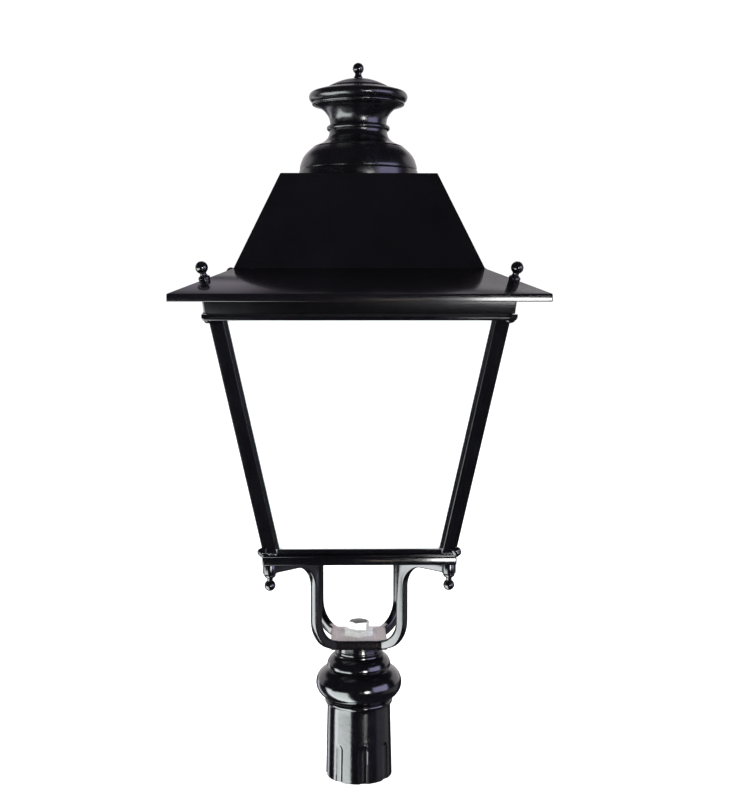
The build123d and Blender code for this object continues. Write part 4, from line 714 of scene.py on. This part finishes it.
# ---- Eave skirt ------------------------------------------------------------------------
# One folded sheet: soffit, narrow upright fascia and the low slope up to the steep roof,
# its four corners mitred and welded. Satin black.
SHEET = 1.5
EAVE, FASCIA_TOP = 211.0, 621.4
FOLD, FOLD_TOP = 144.0, 650.3
LAP = 10                # of the skirt under the steep roof
SLOPE = (FOLD_TOP - FASCIA_TOP) / (EAVE - FOLD)
drop = SHEET * sqrt(1 + SLOPE ** 2)
skirt = squared([(FLANGE_IN, BAND_TOP), (EAVE, BAND_TOP, 0.7), (EAVE, FASCIA_TOP, 1.1),
                 (FOLD + 0.4, FOLD_TOP - 0.2), (FOLD - LAP, FOLD_TOP - 0.2),
                 (FOLD - LAP, FOLD_TOP - drop), (FOLD, FOLD_TOP - drop),
                 (EAVE - SHEET, FASCIA_TOP - drop + SHEET * SLOPE),
                 (EAVE - SHEET, BAND_TOP + SHEET), (FLANGE_IN, BAND_TOP + SHEET),
                 (FLANGE_IN, BAND_TOP)], 1.2)
finished("eave_skirt_sheet", skirt, satin, "roof", "sheet_black", "eave_skirt", sharp=24)

# ---- Steep roof ------------------------------------------------------------------------
# Four steep faces of folded sheet with a flat top that carries the chimney, welded along
# the hips and to the eave skirt. Satin black.
ROOF_TOP_HALF, ROOF_TOP = 92.6, 762.9
VENT_R = 46
steep = (FOLD - ROOF_TOP_HALF) / (ROOF_TOP - FOLD_TOP)
wall = SHEET * sqrt(1 + steep ** 2)
roof = squared([(0, ROOF_TOP), (ROOF_TOP_HALF, ROOF_TOP, 0.9), (FOLD, FOLD_TOP),
                (FOLD - wall, FOLD_TOP), (ROOF_TOP_HALF - wall + SHEET * steep, ROOF_TOP - SHEET),
                (0, ROOF_TOP - SHEET)], 1.4)
roof = joined(roof, rod(VENT_R, ROOF_TOP - 5, ROOF_TOP + 5, 96), "DIFFERENCE")
finished("steep_roof_sheet", roof, satin, "roof", "sheet_black", "steep_roof", sharp=24)

# ---- Chimney base, neck and lid --------------------------------------------------------
# Spun aluminium, painted gloss black: a dome on a low plinth, a waisted neck with a bead
# and a flared bell, and a lid with a heavy rolled rim.
ROD_HOLE_R = 3.3
BASE_TOP = 803.0
NECK_TOP = 854.1
LID_TOP = 887.3
spun_enamel = surface("spun_enamel", BLACK, BLUE_BLACK, (0.22, 0.3), patch=32, grain=420,
                      bump=0.06, coat=0.1, edge_wear_and_highlight=0.1)
base = rounded([(66.8, ROOF_TOP), (73.8, ROOF_TOP, 0.5), (73.8, 773.2, 0.8), (72.5, 774.4, 0.4)])
base += flowing([(73.1, 775.6), (72.9, 778.2), (71.6, 783.0), (69.0, 789.4), (65.2, 794.6),
                 (60.2, 799.4), (56.8, 802.2)])
base += rounded([(56.3, BASE_TOP), (ROD_HOLE_R, BASE_TOP), (ROD_HOLE_R, 800.0), (50, 800.0)])
base += flowing([(52, 799.6), (62.4, 789.0), (66.6, 776)]) + [(66.8, ROOF_TOP)]
neck = [(ROD_HOLE_R, BASE_TOP), (54.8, BASE_TOP), (55.2, 803.4), (54.9, 803.9)]
neck += flowing([(54.2, 804.2), (46.7, 807.2), (42.2, 810.0), (38.2, 814.2), (36.3, 819.0),
                 (36.0, 821.6)])
neck += arc((36.2, 822.8), (39.4, 826.1), (35.8, 829.3), 14)
neck += flowing([(35.3, 829.9), (35.2, 832.8), (36.0, 837.4), (38.1, 841.8), (42.7, 847.6),
                 (47.6, 851.2), (53.6, 853.3), (54.9, 853.8)])
neck += [(55.0, NECK_TOP), (ROD_HOLE_R, NECK_TOP), (ROD_HOLE_R, 851.0), (33.1, 848.0),
         (33.1, 806.0), (ROD_HOLE_R, 806.0), (ROD_HOLE_R, BASE_TOP)]
lid = [(ROD_HOLE_R, NECK_TOP), (56.4, NECK_TOP)]
lid += arc((56.8, 854.3), (57.6, 856.0), (56.8, 857.5), 8)
lid += arc((57.4, 857.8), (61.2, 863.0), (54.8, 870.9), 20)
lid += flowing([(54.0, 871.2), (49.0, 872.8), (43.5, 874.0), (38.0, 875.8), (36.8, 876.6)])
lid += flowing([(36.6, 877.4), (28.0, 881.6), (18.0, 885.0), (8.0, 886.9), (ROD_HOLE_R, LID_TOP)])
lid += [(ROD_HOLE_R, NECK_TOP)]
for name, chain, node in (("chimney_base_spun", base, "chimney_base"),
                          ("chimney_neck_spun", neck, "chimney_neck"),
                          ("cap_lid_turned", lid, "cap_lid")):
    finished(name, spun(chain, 160), spun_enamel, "roof", "turned_black", node)

# ---- Top ball and the rod that draws the chimney together ------------------------------
# The ball is turned and threaded on the rod. The rod goes down to a flat bar under the top
# of the roof, where a nut pulls everything tight.
top_ball = [(0, 889), (3.05, 889), (3.05, LID_TOP)]
top_ball += rounded([(5.9, LID_TOP), (6.0, 888.2, 0.4), (5.0, 889.4, 0.9), (4.1, 891.6, 0.8),
                     (4.2, 893.8)])
top_ball += arc((4.3, 893.9), (7.0, 899.5), (0, 906.5), 26)
finished("top_ball_turned", spun(top_ball, 64), turned_enamel, "roof", "turned_black", "top_ball")
dress(zinc, "cap_rod", "cap_crossbar", "rod_nut", "finial_nuts")

# ---- Finials on the hips ---------------------------------------------------------------
# Turned balls on a short neck and collar. Each stands square to its hip on a foot cut to
# the two slopes, and a stud with a nut inside the eaves holds it.
FINIAL = 173.4          # from the axis to a finial's foot, along X and along Y
hip_rise = SLOPE / sqrt(2)
hip_lean = atan2(hip_rise, 1)
hip_z = FASCIA_TOP + (EAVE - FINIAL) * SLOPE
hip = (Matrix.Translation(Vector((-FINIAL, -FINIAL, hip_z)) * MM)
       @ Matrix.Rotation(radians(225), 4, "Z") @ Matrix.Rotation(hip_lean, 4, "Y"))
finial_chain = rounded([(0, 0.02), (6.3, 0.0), (6.8, 1.5, 1.0), (6.4, 3.0, 0.8), (4.6, 4.3, 0.9),
                        (3.7, 5.4, 0.6), (3.7, 7.4)])
finial_chain += arc((3.75, 7.55), (7.15, 13.6), (0, 20.75), 26)
for turn, corner in enumerate(CORNERS):
    finial = spun(finial_chain, 64)
    for vert in finial.verts:
        if vert.co.z < 0.3 * MM:
            vert.co.z = -abs(vert.co.y) * hip_rise * cos(hip_lean)
    stud = spun(rounded([(0, -7.5), (2.5, -7.5, 0.5), (2.5, 0.5), (0, 0.5)]), 32)
    finial = turned(moved(added(finial, stud), hip), turn)
    finished(f"roof_finial_turned_{corner}", finial, turned_enamel, "roof", "turned_black",
             f"roof_finial_{corner}")

# ---- Gear inside the canopy ------------------------------------------------------------
# A folded tray closes the canopy from below. On it lie the control gear and the terminal
# block, and under it hang the lamp holder and the lamp.
galvanised = surface("galvanised_sheet", (0.55, 0.56, 0.57, 1), (0.4, 0.42, 0.43, 1), (0.3, 0.5),
                     patch=55, grain=400, bump=0.1, metal=0.9)
grey_plastic = surface("gear_plastic", (0.62, 0.62, 0.58, 1), (0.55, 0.55, 0.52, 1),
                       (0.4, 0.55), patch=40, grain=1600, bump=0.1)
ceramic = surface("glazed_white", (0.8, 0.79, 0.75, 1), (0.74, 0.73, 0.69, 1), (0.12, 0.25),
                  patch=50, grain=500, bump=0.05)
frosted = surface("frosted_glass", (0.88, 0.87, 0.83, 1), (0.82, 0.81, 0.78, 1), (0.3, 0.4),
                  patch=40, grain=900, bump=0.05)
dress(galvanised, "gear_tray")
dress(zinc, "tray_screws")
dress(grey_plastic, "control_gear", "terminal_block")
dress(ceramic, "lamp_holder")
dress(frosted, "lamp")

# ---- Floor -----------------------------------------------------------------------------
# Wide plain floor, pale and almost white, just below the open foot of the post head. It is
# left out of the gloss, which mirrors the painted studio instead.
floor_mesh = bmesh.new()
bmesh.ops.create_grid(floor_mesh, x_segments=1, y_segments=1, size=30)
floor_data = bpy.data.meshes.new("floor")
floor_mesh.to_mesh(floor_data)
floor_mesh.free()
pale = surface("pale_floor", (0.9, 0.9, 0.9, 1), (0.88, 0.88, 0.88, 1), (0.6, 0.75), patch=2,
               grain=60, bump=0.02)
ground = pale.node_tree.nodes["Principled BSDF"]
ground.inputs["Emission Color"].default_value = (1, 1, 1, 1)
ground.inputs["Emission Strength"].default_value = 0.8
floor_data.materials.append(pale)
floor = bpy.data.objects.new("floor", floor_data)
floor.location.z = -0.0005
bpy.context.scene.collection.objects.link(floor)
floor.visible_glossy = False

# ---- Studio ----------------------------------------------------------------------------
# White studio: the world is white to the camera, gives soft fill light, and shows the gloss
# a dark room with painted windows, which make the highlights of the enamel.
world = bpy.data.worlds.new("studio")
world.use_nodes = True
sky, wires = world.node_tree.nodes, world.node_tree.links
seen = sky["Background"]
seen.inputs["Color"].default_value = (1, 1, 1, 1)
seen.inputs["Strength"].default_value = 1.05
fill = sky.new("ShaderNodeBackground")
fill.inputs["Color"].default_value = (0.95, 0.97, 1.0, 1)
fill.inputs["Strength"].default_value = 0.55


def worked(action, *values):
    """Result of a sum over the studio's links and numbers."""
    node = sky.new("ShaderNodeMath")
    node.operation = action
    for socket, value in zip(node.inputs, values):
        if isinstance(value, (int, float)):
            socket.default_value = value
        else:
            wires.new(value, socket)
    return node.outputs["Value"]


def within(value, low, high, soft):
    """1 between two angles in degrees, 0 outside, with soft edges."""
    sides = []
    for edge, reach in ((low, soft / 2), (high, -soft / 2)):
        ramp = sky.new("ShaderNodeMapRange")
        ramp.interpolation_type = "SMOOTHSTEP"
        ramp.inputs["From Min"].default_value = edge - reach
        ramp.inputs["From Max"].default_value = edge + reach
        wires.new(value, ramp.inputs["Value"])
        sides.append(ramp.outputs["Result"])
    return worked("MULTIPLY", *sides)


direction = sky.new("ShaderNodeTexCoord")
split = sky.new("ShaderNodeSeparateXYZ")
wires.new(direction.outputs["Generated"], split.inputs["Vector"])
across, depth, upward = split.outputs
elevation = worked("DEGREES", worked("ARCSINE", upward))
from_front = worked("DEGREES", worked("ARCTAN2", across, worked("MULTIPLY", depth, -1)))
from_back = worked("DEGREES", worked("ARCTAN2", across, depth))
mirrored = sky.new("ShaderNodeBackground")
mirrored.inputs["Color"].default_value = (0.78, 0.74, 1.0, 1)
mirrored.inputs["Strength"].default_value = 0.03
painted = mirrored.outputs["Background"]
# Each window: where its azimuth is counted from, azimuths, elevations, width of its soft
# edges, colour, strength.
WINDOWS = [(from_front, (-76, -30), (-80, -15), 7, (0.86, 0.93, 0.93), 10.5),
           (from_front, (-97, -77), (-80, -8), 7, (0.94, 0.98, 1), 9.5),
           (from_front, (38, 82), (-11, 20), 7, (0.66, 0.64, 1.0), 4.5),
           (from_front, (66, 130), (-30, -10), 12, (0.9, 0.9, 1.0), 0.3),
           (from_front, (17, 27), (-13, -2), 4, (1, 1, 1), 42.0),
           (from_front, (3, 8), (-13, -8.5), 2, (1.0, 0.82, 0.66), 3.0),
           (from_back, (-28, -5), (36, 60), 12, (0.95, 0.86, 1.0), 0.95),
           (from_back, (5, 28), (36, 60), 12, (0.95, 0.86, 1.0), 1.0),
           (from_back, (-70, 70), (-6, 28), 10, (1.0, 0.95, 0.98), 0.9),
           (from_back, (-50, -34), (-40, -5), 8, (0.9, 0.92, 1.0), 2.0)]
for azimuth, azimuths, elevations, soft, colour, strength in WINDOWS:
    opening = worked("MULTIPLY", within(azimuth, *azimuths, soft),
                     within(elevation, *elevations, soft))
    window, pile = sky.new("ShaderNodeBackground"), sky.new("ShaderNodeAddShader")
    window.inputs["Color"].default_value = (*colour, 1)
    wires.new(worked("MULTIPLY", opening, strength), window.inputs["Strength"])
    wires.new(painted, pile.inputs[0])
    wires.new(window.outputs["Background"], pile.inputs[1])
    painted = pile.outputs["Shader"]
rays = sky.new("ShaderNodeLightPath")
bounced, both = sky.new("ShaderNodeMixShader"), sky.new("ShaderNodeMixShader")
wires.new(rays.outputs["Is Glossy Ray"], bounced.inputs["Fac"])
wires.new(fill.outputs["Background"], bounced.inputs[1])
wires.new(painted, bounced.inputs[2])
wires.new(rays.outputs["Is Camera Ray"], both.inputs["Fac"])
wires.new(bounced.outputs["Shader"], both.inputs[1])
wires.new(seen.outputs["Background"], both.inputs[2])
wires.new(both.outputs["Shader"], sky["World Output"].inputs["Surface"])
bpy.context.scene.world = world

# ---- Lights ----------------------------------------------------------------------------
# Large soft lights round the lantern and above it. They light the paint and are left out
# of the gloss, like the floor.


def softbox(name, place, target, size, power, colour=(1, 1, 1)):
    """Large soft light at a place, aimed at a target."""
    lamp_data = bpy.data.lights.new(name, "AREA")
    lamp_data.shape = "RECTANGLE"
    lamp_data.size, lamp_data.size_y = size
    lamp_data.energy = power
    lamp_data.color = colour
    light = bpy.data.objects.new(name, lamp_data)
    light.location = place
    light.visible_glossy = False
    light.rotation_euler = (Vector(target) - Vector(place)).to_track_quat("-Z", "Y").to_euler()
    bpy.context.scene.collection.objects.link(light)


softbox("left_strip", (-2.1, -1.5, 0.85), (0, 0, 0.45), (0.32, 1.1), 9, (0.93, 1.0, 0.97))
softbox("left_wall", (-2.6, 0.1, 0.5), (0, 0, 0.45), (1.3, 1.1), 12, (0.95, 1.0, 1.0))
softbox("right_window", (2.1, -1.5, 0.85), (0, 0, 0.45), (0.5, 0.8), 8, (0.72, 0.72, 1.0))
softbox("right_spot", (1.0, -2.3, 0.95), (0, 0, 0.45), (0.12, 0.4), 4)
softbox("front", (-0.2, -2.9, 0.0), (0, 0, 0.4), (1.2, 0.3), 2)
softbox("low_left", (-0.65, -0.65, 0.8), (0, 0, 0.19), (0.3, 0.3), 7)
softbox("low_right", (0.7, -0.6, 0.8), (0, 0, 0.19), (0.3, 0.3), 4)
softbox("above", (0, 0.2, 3.0), (0, 0, 0.5), (2.4, 2.0), 26)
softbox("back_left", (-1.7, 1.5, 2.3), (0, 0, 0.6), (0.8, 0.5), 7)
softbox("back_right", (1.7, 1.5, 2.3), (0, 0, 0.6), (0.8, 0.5), 7, (1.0, 0.95, 0.9))

# ---- Camera ----------------------------------------------------------------------------
# Where the photograph was taken from: half a degree left of the front, tilted down by five
# degrees, with the lantern a little left of the middle of the picture.
PIXELS_LONG = 1240.0    # focal length, in pixels of the photograph
PIXELS_WIDE = 744
PIXELS_ASIDE = 13.5     # from the middle of the picture to the lantern's axis
SENSOR = 36.0
camera_data = bpy.data.cameras.new("camera")
camera_data.sensor_fit = "HORIZONTAL"
camera_data.sensor_width = SENSOR
camera_data.lens = PIXELS_LONG / PIXELS_WIDE * SENSOR
camera = bpy.data.objects.new("camera", camera_data)
camera.location = (-0.0137, -1.568, 0.624)
camera.rotation_euler = (radians(85), 0, -radians(0.5) - PIXELS_ASIDE / PIXELS_LONG)
bpy.context.scene.collection.objects.link(camera)
bpy.context.scene.camera = camera
bpy.context.scene.view_settings.view_transform = "Standard"
